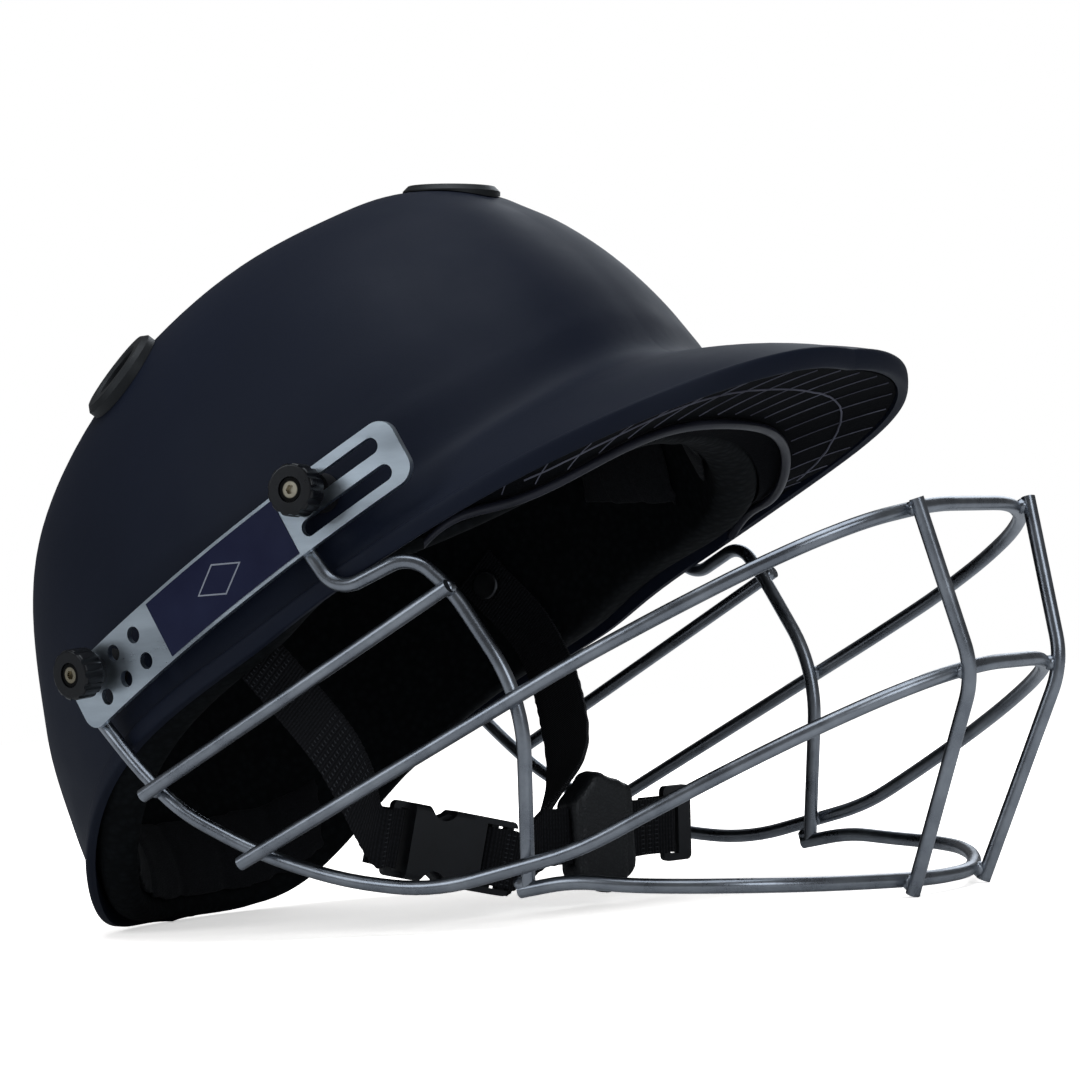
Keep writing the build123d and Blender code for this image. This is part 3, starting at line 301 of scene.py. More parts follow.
metalSet = {
    "guardWire": {
        "dark": (0.215, 0.232, 0.262), "light": (0.40, 0.425, 0.46),
        "rough": (0.22, 0.38), "stretch": (1, 1, 1),
    },
    "plateSteel": {  # brushed along its length
        "dark": (0.46, 0.52, 0.58), "light": (0.76, 0.85, 0.92),
        "rough": (0.24, 0.40), "stretch": (0.15, 1, 1),
    },
    "brassyScrew": {
        "dark": (0.30, 0.26, 0.18), "light": (0.56, 0.51, 0.40),
        "rough": (0.22, 0.40), "stretch": (1, 1, 1),
    },
    "studSteel": {
        "dark": (0.06, 0.06, 0.065), "light": (0.14, 0.14, 0.15),
        "rough": (0.3, 0.45), "stretch": (1, 1, 1),
    },
}
metalWear = {
    "patch": (70, 5, 0.6), "scratch": (1400, 3), "scratchShare": 0.4, "wearRange": (0.4, 1.0),
    "depth": 0.000012, "bump": 0.5,
}


def makeMetal(name, look, wear):
    mat, tree, shader = startMaterial(name, look["light"], metallic=1.0)
    where = addCoords(tree, stretch=look["stretch"])
    patch = addNoise(tree, where, *wear["patch"])
    scratch = addNoise(tree, where, *wear["scratch"])
    addTint(tree, shader, look, addRange(tree, patch, 0, 1))
    worn = addMath(tree, "ADD", patch, addMath(tree, "MULTIPLY", scratch, wear["scratchShare"]))
    addRoughness(tree, shader, look, worn, *wear["wearRange"])
    addBump(tree, shader, scratch, wear["depth"], wear["bump"])
    return mat


# Plastics, rubber, film and thread, with a moulded grain

plasticSet = {
    "knobPlastic": {
        "dark": (0.003, 0.0032, 0.0044), "light": (0.006, 0.0065, 0.0085), "rough": (0.26, 0.38),
        "gloss": 0.4, "grain": (900, 2), "depth": 0.00002,
    },
    "bucklePlastic": {
        "dark": (0.006, 0.0065, 0.008), "light": (0.013, 0.014, 0.017), "rough": (0.30, 0.44),
        "gloss": 0.45, "grain": (1800, 2), "depth": 0.00004,
    },
    "ventRubber": {
        "dark": (0.005, 0.006, 0.007), "light": (0.011, 0.013, 0.015), "rough": (0.42, 0.58),
        "gloss": 0.4, "grain": (1500, 2), "depth": 0.00003,
    },
    "spacerRubber": {
        "dark": (0.006, 0.006, 0.007), "light": (0.012, 0.012, 0.013), "rough": (0.5, 0.65),
        "gloss": 0.4, "grain": (1200, 2), "depth": 0.00004,
    },
    "pipingTrim": {
        "dark": (0.010, 0.0105, 0.018), "light": (0.022, 0.023, 0.036), "rough": (0.35, 0.5),
        "gloss": 0.4, "grain": (1600, 2), "depth": 0.00004,
    },
    "labelFilm": {
        "dark": (0.012, 0.014, 0.046), "light": (0.016, 0.020, 0.060), "rough": (0.30, 0.42),
        "gloss": 0.18, "grain": (500, 2), "depth": 0.00001,
    },
    "labelSilver": {
        "dark": (0.30, 0.32, 0.38), "light": (0.42, 0.44, 0.50), "rough": (0.35, 0.45),
        "gloss": 0.4, "grain": (500, 2), "depth": 0.00001,
    },
    "threadGrey": {
        "dark": (0.09, 0.09, 0.12), "light": (0.20, 0.20, 0.25), "rough": (0.6, 0.8),
        "gloss": 0.2, "grain": (2500, 2), "depth": 0.00008,
    },
    "stitchDark": {
        "dark": (0.035, 0.037, 0.042), "light": (0.075, 0.078, 0.086), "rough": (0.6, 0.8),
        "gloss": 0.2, "grain": (2500, 2), "depth": 0.00008,
    },
}
plasticWear = {"patch": (60, 4), "bump": 0.8}


def makePlastic(name, look, wear):
    mat, tree, shader = startMaterial(name, look["dark"])
    where = addCoords(tree)
    patch = addNoise(tree, where, *wear["patch"])
    addTint(tree, shader, look, addRange(tree, patch, 0, 1))
    addRoughness(tree, shader, look, patch)
    addBump(tree, shader, addNoise(tree, where, *look["grain"]), look["depth"], wear["bump"])
    shader.inputs["Specular IOR Level"].default_value = look["gloss"]
    return mat


# Ribbed webbing: its UV map holds metres along and across the strap

webSet = {
    "dark": (0.0035, 0.0035, 0.0045), "light": (0.015, 0.0155, 0.019),
    "rough": 0.8, "gloss": 0.2, "sheen": 0.03,
    "rib": 0.00125, "ribWaver": 0.6, "strand": 0.0016, "strandTint": (0.55, 1),
    "fuzz": (900, 4), "fuzzTint": (0.5, 1.2), "depth": 0.0003,
    "bandLength": 0.314,  # what one band of a wave texture measures at scale 1
}


def makeWebbing(look):
    mat, tree, shader = startMaterial("ribbedWebbing", look["dark"], look["rough"])
    where = addCoords(tree, "UV")
    ribs = addBands(tree, where, "X", look["bandLength"] / look["rib"], look["ribWaver"])
    strands = addBands(tree, where, "Y", look["bandLength"] / look["strand"])
    cell = addMath(tree, "MULTIPLY", ribs, addRange(tree, strands, *look["strandTint"], 0, 1))
    fuzz = addRange(tree, addNoise(tree, addCoords(tree), *look["fuzz"]), *look["fuzzTint"])
    addTint(tree, shader, look, addMath(tree, "MULTIPLY", cell, fuzz))
    addBump(tree, shader, cell, look["depth"])
    shader.inputs["Specular IOR Level"].default_value = look["gloss"]
    shader.inputs["Sheen Weight"].default_value = look["sheen"]
    return mat


# Soft leathery skin of the chin cup

leatherSet = {
    "dark": (0.006, 0.0068, 0.0078), "light": (0.017, 0.019, 0.021), "rough": (0.30, 0.52),
    "crease": 760, "creaseReach": 0.25, "patch": (80, 5, 0.65), "patchTint": (0.3, 1),
    "depth": 0.00010, "bump": 0.7,
}


def makeLeather(look):
    mat, tree, shader = startMaterial("cupLeather", look["dark"])
    where = addCoords(tree)
    cell = addCells(tree, where, look["crease"], look["creaseReach"], edges=True)
    patch = addNoise(tree, where, *look["patch"])
    addTint(tree, shader, look, addMath(tree, "MULTIPLY", cell, addRange(tree, patch, *look["patchTint"])))
    addRoughness(tree, shader, look, patch)
    addBump(tree, shader, addMath(tree, "ADD", cell, patch), look["depth"], look["bump"])
    return mat


mats = {
    "shellPaint": makeShellPaint(shellPaint), "foam": makeFoam(foamSet),
    "webbing": makeWebbing(webSet), "leather": makeLeather(leatherSet),
}
for name, look in clothSet.items():
    mats[name] = makeKnit(name, look, clothWeave)
for name, look in metalSet.items():
    mats[name] = makeMetal(name, look, metalWear)
for name, look in plasticSet.items():
    mats[name] = makePlastic(name, look, plasticWear)


# Finish of each node that the frame carries, by the longest start of its name that is listed

nodeFinish = {
    "shell": "shellPaint", "impact_liner": "foam", "peak_lining": "peakCloth", "peak_piping": "pipingTrim",
    "crown_vent": "ventRubber", "rear_vent": "ventRubber", "side_plate": "plateSteel",
    "plate_label": "labelFilm", "knob_screw": "brassyScrew", "knob": "knobPlastic", "guard": "guardWire",
    "spacers": "spacerRubber", "tee_nuts": "brassyScrew", "strap_stud": "studSteel",
    "buckle": "bucklePlastic", "strap_slider": "bucklePlastic", "strap": "webbing", "chin_cup": "leather",
    "crown_pad": "padCloth", "forehead_pad": "padCloth", "nape_pad": "padCloth", "side_pad": "padCloth",
}


def giveMaterial(obj, mat):
    obj.data.materials.clear()
    obj.data.materials.append(mat)


for name, obj in cadNodes.items():
    start = max((key for key in nodeFinish if name.startswith(key)), key=len)
    giveMaterial(obj, mats[nodeFinish[start]])


# A knob's screw shows a bright ring round its socket, and the rest of its head is blackened

screwSet = {"ring": (0.00245, 0.0028), "coat": (0.010, 0.0098, 0.0095, 1)}


# The blackening starts at a distance from the knob's own axis
def coatScrew(screw, joint, look):
    mat = mats["brassyScrew"].copy()
    tree = mat.node_tree
    shader = tree.nodes["Principled BSDF"]
    offAxis = addCoords(tree)
    for operation, vector in (("SUBTRACT", joint["pos_m"]), ("CROSS_PRODUCT", joint["axis"])):
        step = addNode(tree, "VectorMath", {0: offAxis, 1: vector}, operation=operation)
        offAxis = step.outputs["Vector"]
    distance = addNode(tree, "VectorMath", {0: offAxis}, operation="LENGTH").outputs["Value"]
    bright = shader.inputs["Base Color"].links[0].from_socket
    inputs = {"A": bright, "B": look["coat"], "Factor": addRange(tree, distance, 0, 1, *look["ring"])}
    mix = addNode(tree, "Mix", inputs, data_type="RGBA")
    tree.links.new(mix.outputs["Result"], shader.inputs["Base Color"])
    giveMaterial(screw, mat)


joints = {joint["name"]: joint for joint in frame["joints"]}
for knob in ("front_left", "front_right", "rear_left", "rear_right"):
    coatScrew(cadNodes["knob_screw_" + knob], joints["knob_" + knob + "_turn"], screwSet)
print("stage: materials on the carried nodes")


# Helpers for new pieces

def pickOnly(*objects):
    bpy.ops.object.select_all(action="DESELECT")
    for obj in objects:
        obj.select_set(True)
    bpy.context.view_layer.objects.active = objects[0]


def newObject(name, mesh):
    obj = bpy.data.objects.new(name, mesh)
    bpy.context.scene.collection.objects.link(obj)
    pickOnly(obj)
    return obj


# Merges points nearer than the weld, if one is given, and turns all faces outwards
def turnOutwards(obj, weld=None):
    pickOnly(obj)
    bpy.ops.object.mode_set(mode="EDIT")
    bpy.ops.mesh.select_all(action="SELECT")
    if weld:
        bpy.ops.mesh.remove_doubles(threshold=weld)
    bpy.ops.mesh.normals_make_consistent(inside=False)
    bpy.ops.object.mode_set(mode="OBJECT")


def copyNode(node, name, weld=0.00001):
    obj = newObject(name, cadNodes[node].data.copy())
    obj.data.name = name
    turnOutwards(obj, weld)
    return obj


def applyModifier(obj, kind, **settings):
    mod = obj.modifiers.new(kind.lower(), kind)
    for key, value in settings.items():
        setattr(mod, key, value)
    pickOnly(obj)
    bpy.ops.object.modifier_apply(modifier=mod.name)


def smoothAll(obj, angle=60):
    pickOnly(obj)
    bpy.ops.object.shade_smooth_by_angle(angle=radians(angle))


def joinPieces(pieces, name):
    pickOnly(*pieces)
    bpy.ops.object.join()
    joined = bpy.context.object
    joined.name = name
    return joined


# A round thread along the given edges, with closed ends
def makeThread(name, points, edges, radius):
    mesh = bpy.data.meshes.new(name)
    mesh.from_pydata([tuple(point) for point in points], edges, [])
    newObject(name, mesh)
    bpy.ops.object.convert(target="CURVE")
    curve = bpy.context.object.data
    curve.bevel_depth = radius
    curve.bevel_resolution = 1
    curve.use_fill_caps = True
    bpy.ops.object.convert(target="MESH")
    return bpy.context.object


def finishPiece(obj, body, material, slot, *replaced):
    giveMaterial(obj, mats[material])
    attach(obj, body)
    if replaced:
        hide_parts(*replaced)


# Comfort pads: swollen as cloth, then sewn down in channels across them

domeMiddle = Vector((-0.0274, 0, 0.1104))  # centre of the dome's widest section

padSet = {
    "pads": {
        "foreheadPad": {"node": "forehead_pad", "span": (-45, 45), "channels": 7, "cap": 0.0011, "fill": 0.7},
        "napePad": {"node": "nape_pad", "span": (150, 210), "channels": 5, "cap": 0.0011, "fill": 0.7},
        "sidePadLeft": {"node": "side_pad_left", "span": (60, 90), "channels": 3, "cap": 0.001, "fill": 0.7},
        "sidePadRight": {
            "node": "side_pad_right", "span": (270, 300), "channels": 3, "cap": 0.001, "fill": 0.7,
        },
        "crownPad": {"node": "crown_pad", "span": (0, 360), "channels": 12, "cap": 0.0009, "fill": 0.6},
    },
    "voxel": 0.0016, "smoothing": 0.6, "smoothSteps": 10, "frames": 10,
    "cloth": {
        "quality": 4, "mass": 0.15, "tension_stiffness": 30, "compression_stiffness": 30,
        "bending_stiffness": 0.4, "use_pressure": True, "uniform_pressure_force": 3.0,
    },
    "groove": 0.0010, "grooveDegrees": 1.1, "wrinkle": 0.0003, "wrinkleScale": 120,
}


# Blows a pad up as cloth, and lets no point of it move further than the cap
def swell(obj, cap, common):
    mod = obj.modifiers.new("cloth", "CLOTH")
    for key, value in common["cloth"].items():
        setattr(mod.settings, key, value)
    mod.settings.effector_weights.gravity = 0
    mod.point_cache.frame_end = common["frames"] + 2
    for number in range(1, common["frames"] + 1):
        bpy.context.scene.frame_set(number)
    evaluated = obj.evaluated_get(bpy.context.evaluated_depsgraph_get())
    moved = [vertex.co.copy() for vertex in evaluated.to_mesh().vertices]
    evaluated.to_mesh_clear()
    obj.modifiers.remove(mod)
    bpy.context.scene.frame_set(1)
    for vertex, end in zip(obj.data.vertices, moved):
        step = end - vertex.co
        if step.length > cap:
            step = step.normalized() * cap
        vertex.co += step
    obj.data.update()


def makePad(name, pad, common):
    obj = copyNode(pad["node"], name)
    applyModifier(obj, "REMESH", mode="VOXEL", voxel_size=common["voxel"])
    applyModifier(obj, "SMOOTH", factor=common["smoothing"], iterations=common["smoothSteps"])
    swell(obj, pad["cap"], common)
    first, last = pad["span"]
    channel = (last - first) / pad["channels"]
    for vertex in obj.data.vertices:
        around = vertex.co - domeMiddle
        turn = degrees(atan2(around.y, around.x)) % 360
        if first < 0 and turn > 180:
            turn -= 360
        share = (turn - first) / channel
        offSeam = (share - round(share)) * channel / common["grooveDegrees"]
        wrinkle = noise.noise(vertex.co * common["wrinkleScale"]) * common["wrinkle"]
        vertex.co += vertex.normal * (wrinkle - common["groove"] * exp(-offSeam ** 2))
    applyModifier(obj, "SUBSURF", levels=1, render_levels=1)
    smoothAll(obj)
    finishPiece(obj, "helmet", "padCloth", "pad_cloth", pad["node"])


for name, pad in padSet["pads"].items():
    makePad(name, pad, padSet)
print("stage: comfort pads")


# Chin strap: the buckle's own frame, and the tail's, which the chin cup and the slider share.
# Along follows the webbing, up is across it and out points away from the chin.

buckleFrame = {
    "origin": Vector((-0.00608, -0.08, 0.0309)), "along": Vector((0.3079, 0.9203, -0.2415)),
    "up": Vector((0.1666, 0.1977, 0.9660)), "out": Vector((0.9367, -0.3376, -0.0924)),
}
tailFrame = {
    "origin": Vector((0.01256, -0.03484, 0.02451)), "along": Vector((0.3413, 0.9400, -0.0035)),
    "up": Vector((0.0880, -0.0282, 0.9957)), "out": Vector((0.9358, -0.3401, -0.0923)),
}


# Webbing, along the route of the strap's solids. A row is the strap's middle and its width's direction.

strapSet = {
    "width": 0.020, "thickness": 0.0015, "fullness": 0.94, "edgeRound": 0.00035,
    "play": 0.0008,  # narrower than the solid by this, so that the rippled edges stay inside it
    "ripple": 0.00016, "wave": 0.0029, "weld": 0.0000001, "smoothAngle": 50,
    "across": 5, "longSteps": 22, "tailSteps": 16, "loopSteps": 12,
    "nearRows": [
        ((-0.07541, -0.08612, 0.12099), (0.7311, 0.0, 0.6822)),
        ((-0.06918, -0.086, 0.11449), (0.7311, 0.0, 0.6822)),
        ((-0.04621, -0.08557, 0.09056), (0.7311, 0.0, 0.6822)),
        ((-0.02344, -0.08471, 0.06472), (0.731, 0.02, 0.6821)),
        ((-0.01321, -0.08514, 0.04862), (0.5821, 0.1, 0.8069)),
    ],
    "farRows": [
        ((-0.07531, 0.08641, 0.12107), (0.7311, 0.0, 0.6822)),
        ((-0.06918, 0.086, 0.11449), (0.7311, 0.0, 0.6822)),
        ((-0.05009, 0.08471, 0.09404), (0.7302, 0.05, 0.6814)),
        ((-0.02728, 0.06364, 0.06858), (0.7802, 0.3011, 0.5483)),
        ((-0.00364, 0.0258, 0.04303), (0.6675, 0.3498, 0.6573)),
    ],
    "loop": 0.0028,  # radius of the webbing's turns round the buckle's bars and the slider
    "socketLead": (-0.006, -0.0005), "socketBar": 0.0015, "socketEnd": -0.0055,
    "ladder": 0.0422, "plugEnd": 0.0501, "plugLead": 0.006, "plugPast": 0.003,
    "tailLead": (0.014, 0.017), "tailStop": 0.066, "tailBar": 0.068, "tailEnd": 0.059,
}


def rowIn(base, along, out=0.0):
    return base["origin"] + base["along"] * along + base["out"] * out, base["up"]


# Goes through second at share 0 and through third at share 1
def curvePoint(first, second, third, fourth, share):
    slope = (third - first) * share
    bend = (2 * first - 5 * second + 4 * third - fourth) * share ** 2
    twist = (3 * second - first - 3 * third + fourth) * share ** 3
    return 0.5 * (2 * second + slope + bend + twist)


def smoothRows(rows, steps):
    rows = [(Vector(middle), Vector(way)) for middle, way in rows]
    smooth = []
    for i in range(len(rows) - 1):
        around = [rows[max(0, i - 1)], rows[i], rows[i + 1], rows[min(len(rows) - 1, i + 2)]]
        for k in range(steps):
            middle = curvePoint(*(row[0] for row in around), k / steps)
            way = curvePoint(*(row[1] for row in around), k / steps)
            smooth.append((middle, way.normalized()))
    smooth.append((rows[-1][0], rows[-1][1].normalized()))
    return smooth


def loopRows(base, along, level, sizes, sense):
    rows = []
    for i in range(sizes["loopSteps"] + 1):
        turn = pi * i / sizes["loopSteps"]
        rows.append(rowIn(base, along + sense * sizes["loop"] * sin(turn), level + sizes["loop"] * cos(turn)))
    return rows


def makeRibbon(name, rows, sizes):
    count, across = len(rows), sizes["across"]
    bpy.ops.object.select_all(action="DESELECT")
    bpy.ops.mesh.primitive_grid_add(x_subdivisions=count - 1, y_subdivisions=across - 1, size=1)
    band = bpy.context.object
    band.name = name
    run = [0.0]
    for before, after in zip(rows, rows[1:]):
        run.append(run[-1] + (after[0] - before[0]).length)
    places = {}
    for vertex in band.data.vertices:
        i = round((vertex.co.x + 0.5) * (count - 1))
        share = round((vertex.co.y + 0.5) * (across - 1)) / (across - 1)
        places[vertex.index] = (run[i], share * sizes["width"])
        middle, way = rows[i]
        ripple = sizes["ripple"] * sin(2 * pi * run[i] / sizes["wave"])
        vertex.co = middle + way * ((share - 0.5) * (sizes["width"] - sizes["play"] + 2 * ripple))
    layer = band.data.uv_layers.active
    for loop in band.data.loops:
        layer.data[loop.index].uv = places[loop.vertex_index]
    applyModifier(band, "SOLIDIFY", thickness=sizes["thickness"] * sizes["fullness"], offset=0)
    applyModifier(band, "BEVEL", width=sizes["edgeRound"], segments=2, limit_method="ANGLE")
    applyModifier(band, "WELD", merge_threshold=sizes["weld"])
    smoothAll(band, sizes["smoothAngle"])
    return band


# From the right stud to the socket's end bar, round it and a little way back
def makeNearStrap(sizes):
    loop = sizes["loop"]
    lead = [rowIn(buckleFrame, along, loop) for along in sizes["socketLead"]]
    rows = smoothRows(sizes["nearRows"] + lead, sizes["longSteps"])
    rows += loopRows(buckleFrame, sizes["socketBar"], 0, sizes, 1)
    rows.append(rowIn(buckleFrame, sizes["socketEnd"], -loop))
    band = makeRibbon("nearWebbing", rows, sizes)
    finishPiece(band, "chin_strap", "webbing", "webbing", "strap_right")
    return rows


# From the left stud round the plug's ladder, back through the chin cup and round the slider
def makeFarStrap(sizes):
    end, loop = sizes["plugEnd"], sizes["loop"]
    lead = [rowIn(buckleFrame, end + sizes["plugLead"], -loop), rowIn(buckleFrame, end, -loop)]
    rows = smoothRows(sizes["farRows"] + lead, sizes["longSteps"])
    rows += loopRows(buckleFrame, sizes["ladder"], 0, sizes, -1)[::-1]
    tail = [rowIn(buckleFrame, end, loop), rowIn(buckleFrame, end + sizes["plugPast"], loop)]
    tail += [rowIn(tailFrame, along) for along in (*sizes["tailLead"], sizes["tailStop"])]
    rows += smoothRows(tail, sizes["tailSteps"])
    rows += loopRows(tailFrame, sizes["tailBar"], -loop, sizes, 1)
    rows.append(rowIn(tailFrame, sizes["tailEnd"], -2 * loop))
    band = makeRibbon("farWebbing", rows, sizes)
    finishPiece(band, "chin_strap", "webbing", "webbing", "strap_left")


nearRows = makeNearStrap(strapSet)
makeFarStrap(strapSet)
print("stage: webbing")


# Rows of stitches sewn across the webbing

stitchSet = {
    "pitch": 0.0015, "long": 0.0010, "radius": 0.00019, "edge": 0.0014,
    "level": 0.47,  # share of the webbing's thickness
    "profile": ((-0.5, -0.0001), (-0.2, 0.00016), (0.2, 0.00016), (0.5, -0.0001)),  # share of long, rise
    "nearRuns": (
        0.0355, 0.0382, 0.0409, 0.0436, 0.0463, 0.0490, 0.0745, 0.0775,
        0.0805, 0.0835, 0.0865, 0.0895, 0.0925, 0.0955, 0.0985, 0.1180,
    ),
    "plugAlong": (0.0468, 0.0492), "tailAlong": (0.0555, 0.0585, 0.0615),
}


# Middle, width's direction, run's direction and outward direction at a length along the strap
def rowAt(rows, run):
    gone = 0.0
    for before, after in zip(rows, rows[1:]):
        step = (after[0] - before[0]).length
        if gone + step >= run:
            share = (run - gone) / step
            along = (after[0] - before[0]).normalized()
            across = before[1].lerp(after[1], share).normalized()
            return before[0].lerp(after[0], share), across, along, along.cross(across).normalized()
        gone += step


def makeStitches(sizes, strap, rows):
    places = []
    for run in sizes["nearRuns"]:
        middle, across, along, out = rowAt(rows, run)
        places.append((middle, across, along, out if out.y < 0 else -out))
    spots = [(buckleFrame, along, strap["loop"]) for along in sizes["plugAlong"]]
    spots += [(tailFrame, along, 0) for along in sizes["tailAlong"]]
    for base, along, level in spots:
        middle, across = rowIn(base, along, level)
        places.append((middle, across, base["along"], base["out"]))
    points, edges = [], []
    half = strap["width"] / 2 - sizes["edge"]
    count = int(2 * half / sizes["pitch"]) + 1
    for middle, across, along, out in places:
        for i in range(count):
            stitch = middle + across * (i * sizes["pitch"] - half) + out * strap["thickness"] * sizes["level"]
            first = len(points)
            for step, rise in sizes["profile"]:
                points.append(stitch + along * step * sizes["long"] + out * rise)
            edges += [(k, k + 1) for k in range(first, len(points) - 1)]
    stitches = makeThread("webbingStitches", points, edges, sizes["radius"])
    smoothAll(stitches)
    finishPiece(stitches, "chin_strap", "stitchDark", "webbing")


makeStitches(stitchSet, strapSet, nearRows)
print("stage: webbing stitches")


# Chin cup: two seams where the webbing goes in and out, and creases towards its ends

cupSet = {
    "voxel": 0.0010, "smoothing": 0.5, "smoothSteps": 3, "fill": 0.85,
    "seams": (0.0272, 0.0468), "seamWidth": 0.0007, "seamDepth": 0.0006,
    "crease": 0.0005, "creaseFrom": 0.010, "creaseFade": 0.006, "creaseScale": (420, 130),
    "creaseLayer": 3.1, "lump": 0.00030, "lumpScale": 160,
}


def makeCup(sizes):
    cup = copyNode("chin_cup", "chinCupPad")
    applyModifier(cup, "REMESH", mode="VOXEL", voxel_size=sizes["voxel"])
    applyModifier(cup, "SMOOTH", factor=sizes["smoothing"], iterations=sizes["smoothSteps"])
    alongScale, upScale = sizes["creaseScale"]
    for vertex in cup.data.vertices:
        fromOrigin = vertex.co - tailFrame["origin"]
        along, up = fromOrigin.dot(tailFrame["along"]), fromOrigin.dot(tailFrame["up"])
        facing = max(0.0, vertex.normal.dot(tailFrame["out"]))
        seam = sum(exp(-((along - place) / sizes["seamWidth"]) ** 2) for place in sizes["seams"])
        reach = min(1.0, max(0.0, (abs(up) - sizes["creaseFrom"]) / sizes["creaseFade"]))
        spread = Vector((along * alongScale, up * upScale, sizes["creaseLayer"]))
        crease = noise.noise(spread) * reach
        lump = noise.noise(vertex.co * sizes["lumpScale"]) * sizes["lump"]
        vertex.co += vertex.normal * (lump - sizes["seamDepth"] * seam * facing + sizes["crease"] * crease)
    smoothAll(cup)
    finishPiece(cup, "chin_cup_body", "leather", "cup_leather", "chin_cup")


makeCup(cupSet)
print("stage: chin cup")


# Weld beads where the guard's wires cross, on the wearer's left, and mirrored on the right

weldSet = {
    "radius": 0.0025, "roundness": 3, "lump": 0.16, "lumpScale": 700, "beadShift": 90,
    "places": [
        (0.05906, 0.09811, 0.07198), (0.17464, 0.03885, 0.12133), (-0.03871, 0.1062, 0.02923),
        (0.05645, 0.09461, 0.0202), (0.18324, 0.03149, 0.06966), (-0.07706, 0.10949, 0.05191),
        (0.05331, 0.09242, 0.01462), (0.15465, 0.02446, 0.00448), (0.04138, 0.10195, 0.10885),
    ],
}


def makeBead(middle, sizes):
    bpy.ops.object.select_all(action="DESELECT")
    bpy.ops.mesh.primitive_ico_sphere_add(
        subdivisions=sizes["roundness"], radius=sizes["radius"], location=middle)
    bpy.ops.object.transform_apply(location=True, rotation=True, scale=True)
    bead = bpy.context.object
    for vertex in bead.data.vertices:
        lump = noise.noise(vertex.co * sizes["lumpScale"] + middle * sizes["beadShift"])
        vertex.co = middle + (vertex.co - middle) * (1 + sizes["lump"] * lump)
    return bead


def makeWelds(sizes):
    beads = []
    for side in (1, -1):
        beads += [makeBead(Vector((x, side * y, z)), sizes) for x, y, z in sizes["places"]]
    joined = joinPieces(beads, "weldBeads")
    smoothAll(joined)
    finishPiece(joined, "helmet", "guardWire", "guard_steel")


makeWelds(weldSet)
print("stage: weld beads")


# Threads stitched under the peak's lining: a fan of lines from the bead along the brow to the
# lining's outer edge, and one arc across them. A turn is an angle round the dome from straight ahead.

peakSet = {
    "lines": 21, "halfSpan": 52, "lineSteps": 14, "lineRadius": 0.00021,
    "arcHalfSpan": 44, "arcSteps": 80, "arcRadius": 0.00038, "arcShare": 0.52,
    "drop": 0.00016, "fromBead": 0.0012, "fromEdge": 0.0010, "narrowest": 0.004,
    "scanFrom": 0.070, "scanStep": 0.0007, "scanCount": 160, "scanHeight": 0.02,
}


def treeOf(node):
    mesh = cadNodes[node].data
    return BVHTree.FromPolygons([v.co for v in mesh.vertices], [tuple(p.vertices) for p in mesh.polygons])


# Where the mesh first lies above a place under the peak, or None where it doesn't
def above(tree, sizes, turn, reach):
    start = Vector((domeMiddle.x + reach * cos(turn), reach * sin(turn), sizes["scanHeight"]))
    return tree.ray_cast(start, Vector((0, 0, 1)))[0]


def clothSpan(lining, bead, sizes, turn):
    scan = [sizes["scanFrom"] + i * sizes["scanStep"] for i in range(sizes["scanCount"])]
    onBead = [reach for reach in scan if above(bead, sizes, turn, reach) is not None]
    onCloth = [reach for reach in scan if above(lining, sizes, turn, reach) is not None]
    if not onBead or not onCloth or onCloth[-1] - onBead[-1] < sizes["narrowest"]:
        return None
    return onBead[-1] + sizes["fromBead"], onCloth[-1] - sizes["fromEdge"]


def makePeakThread(lining, sizes, places, radius):
    hits = [above(lining, sizes, turn, reach) for turn, reach in places]
    points = [hit - Vector((0, 0, sizes["drop"])) for hit in hits if hit is not None]
    return makeThread("thread", points, [(i, i + 1) for i in range(len(points) - 1)], radius)


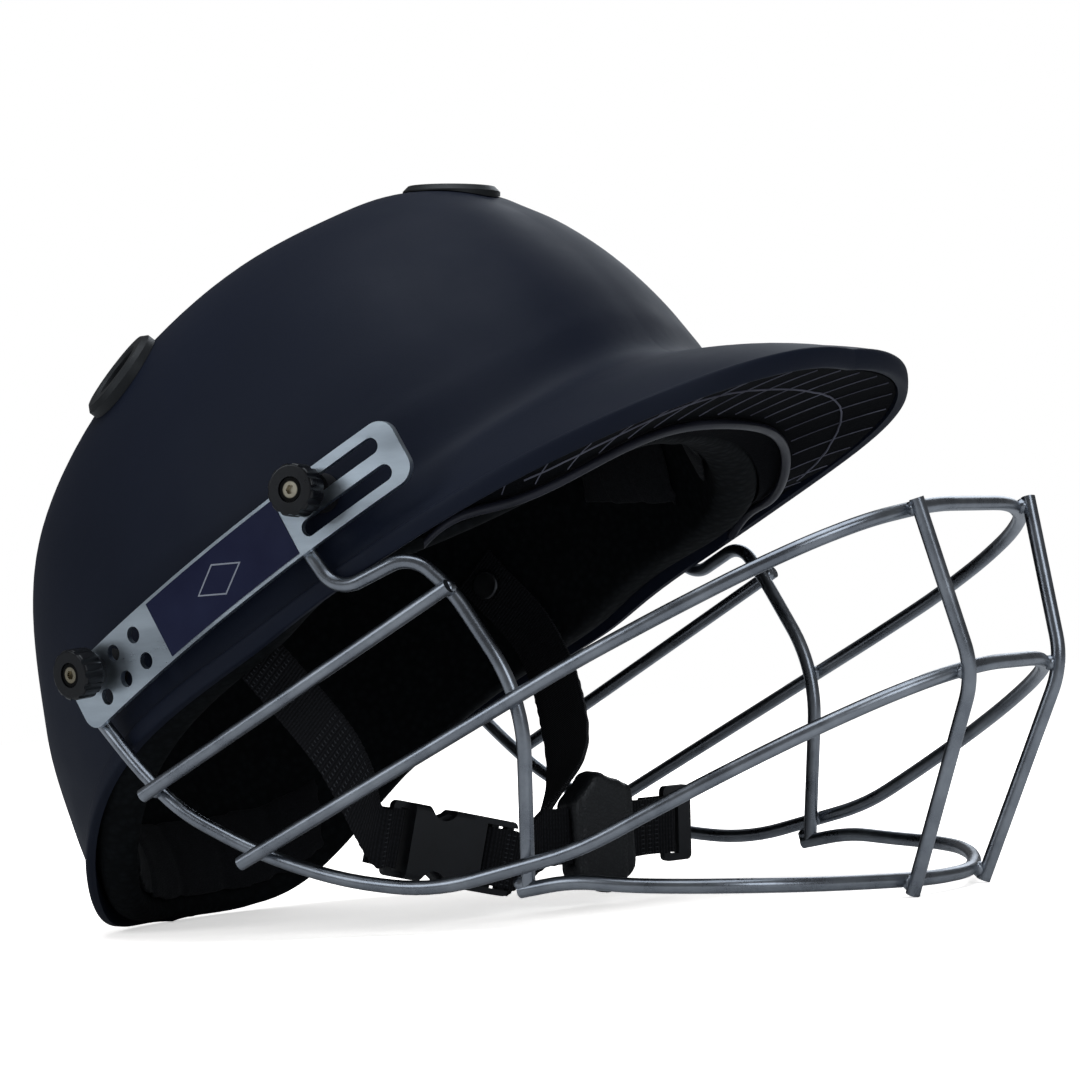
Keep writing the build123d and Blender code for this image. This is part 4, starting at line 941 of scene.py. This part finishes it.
def makePeakThreads(sizes):
    lining, bead = treeOf("peak_lining"), treeOf("peak_piping")
    threads = []
    for i in range(sizes["lines"]):
        turn = radians(-sizes["halfSpan"] + 2 * sizes["halfSpan"] * i / (sizes["lines"] - 1))
        span = clothSpan(lining, bead, sizes, turn)
        if span:
            steps = sizes["lineSteps"]
            places = [(turn, span[0] + (span[1] - span[0]) * k / steps) for k in range(steps + 1)]
            threads.append(makePeakThread(lining, sizes, places, sizes["lineRadius"]))
    places = []
    for k in range(sizes["arcSteps"] + 1):
        turn = radians(-sizes["arcHalfSpan"] + 2 * sizes["arcHalfSpan"] * k / sizes["arcSteps"])
        span = clothSpan(lining, bead, sizes, turn)
        if span:
            places.append((turn, span[0] + (span[1] - span[0]) * sizes["arcShare"]))
    threads.append(makePeakThread(lining, sizes, places, sizes["arcRadius"]))
    joined = joinPieces(threads, "peakThreads")
    smoothAll(joined)
    finishPiece(joined, "helmet", "threadGrey", "pad_cloth")


makePeakThreads(peakSet)
print("stage: peak threads")


# Plain lozenge outline printed on the right plate's label, as a thin raised band

lozengeSet = {
    "slope": 27.8652,  # degrees that the side plate rises towards the front
    "halfLong": 0.0105, "halfHigh": 0.0058, "line": 0.0006, "tipShare": 1.6,
    "steps": 10, "lift": 0.00004, "thickness": 0.00008, "outside": -0.3,
}


def lozengeRing(sizes, inset):
    long, high = sizes["halfLong"] - sizes["tipShare"] * inset, sizes["halfHigh"] - inset
    corners = [Vector(corner) for corner in ((long, 0), (0, high), (-long, 0), (0, -high))]
    ring = []
    for corner, following in zip(corners, corners[1:] + corners[:1]):
        ring += [corner.lerp(following, k / sizes["steps"]) for k in range(sizes["steps"])]
    return ring


def makeLozenge(sizes):
    tree = treeOf("plate_label_right")
    low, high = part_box("plate_label_right")
    slope = radians(sizes["slope"])
    along, up = Vector((cos(slope), 0, sin(slope))), Vector((-sin(slope), 0, cos(slope)))
    points = []
    for x, z in lozengeRing(sizes, 0) + lozengeRing(sizes, sizes["line"]):
        place = (low + high) / 2 + along * x + up * z
        place.y = sizes["outside"]
        points.append(tree.ray_cast(place, Vector((0, 1, 0)))[0] - Vector((0, sizes["lift"], 0)))
    count = len(points) // 2
    faces = [(i, (i + 1) % count, count + (i + 1) % count, count + i) for i in range(count)]
    mesh = bpy.data.meshes.new("labelLozenge")
    mesh.from_pydata([tuple(point) for point in points], [], faces)
    lozenge = newObject("labelLozenge", mesh)
    applyModifier(lozenge, "SOLIDIFY", thickness=sizes["thickness"], offset=0)
    turnOutwards(lozenge)
    finishPiece(lozenge, "helmet", "labelSilver", "label_film")


makeLozenge(lozengeSet)
print("stage: label lozenge")
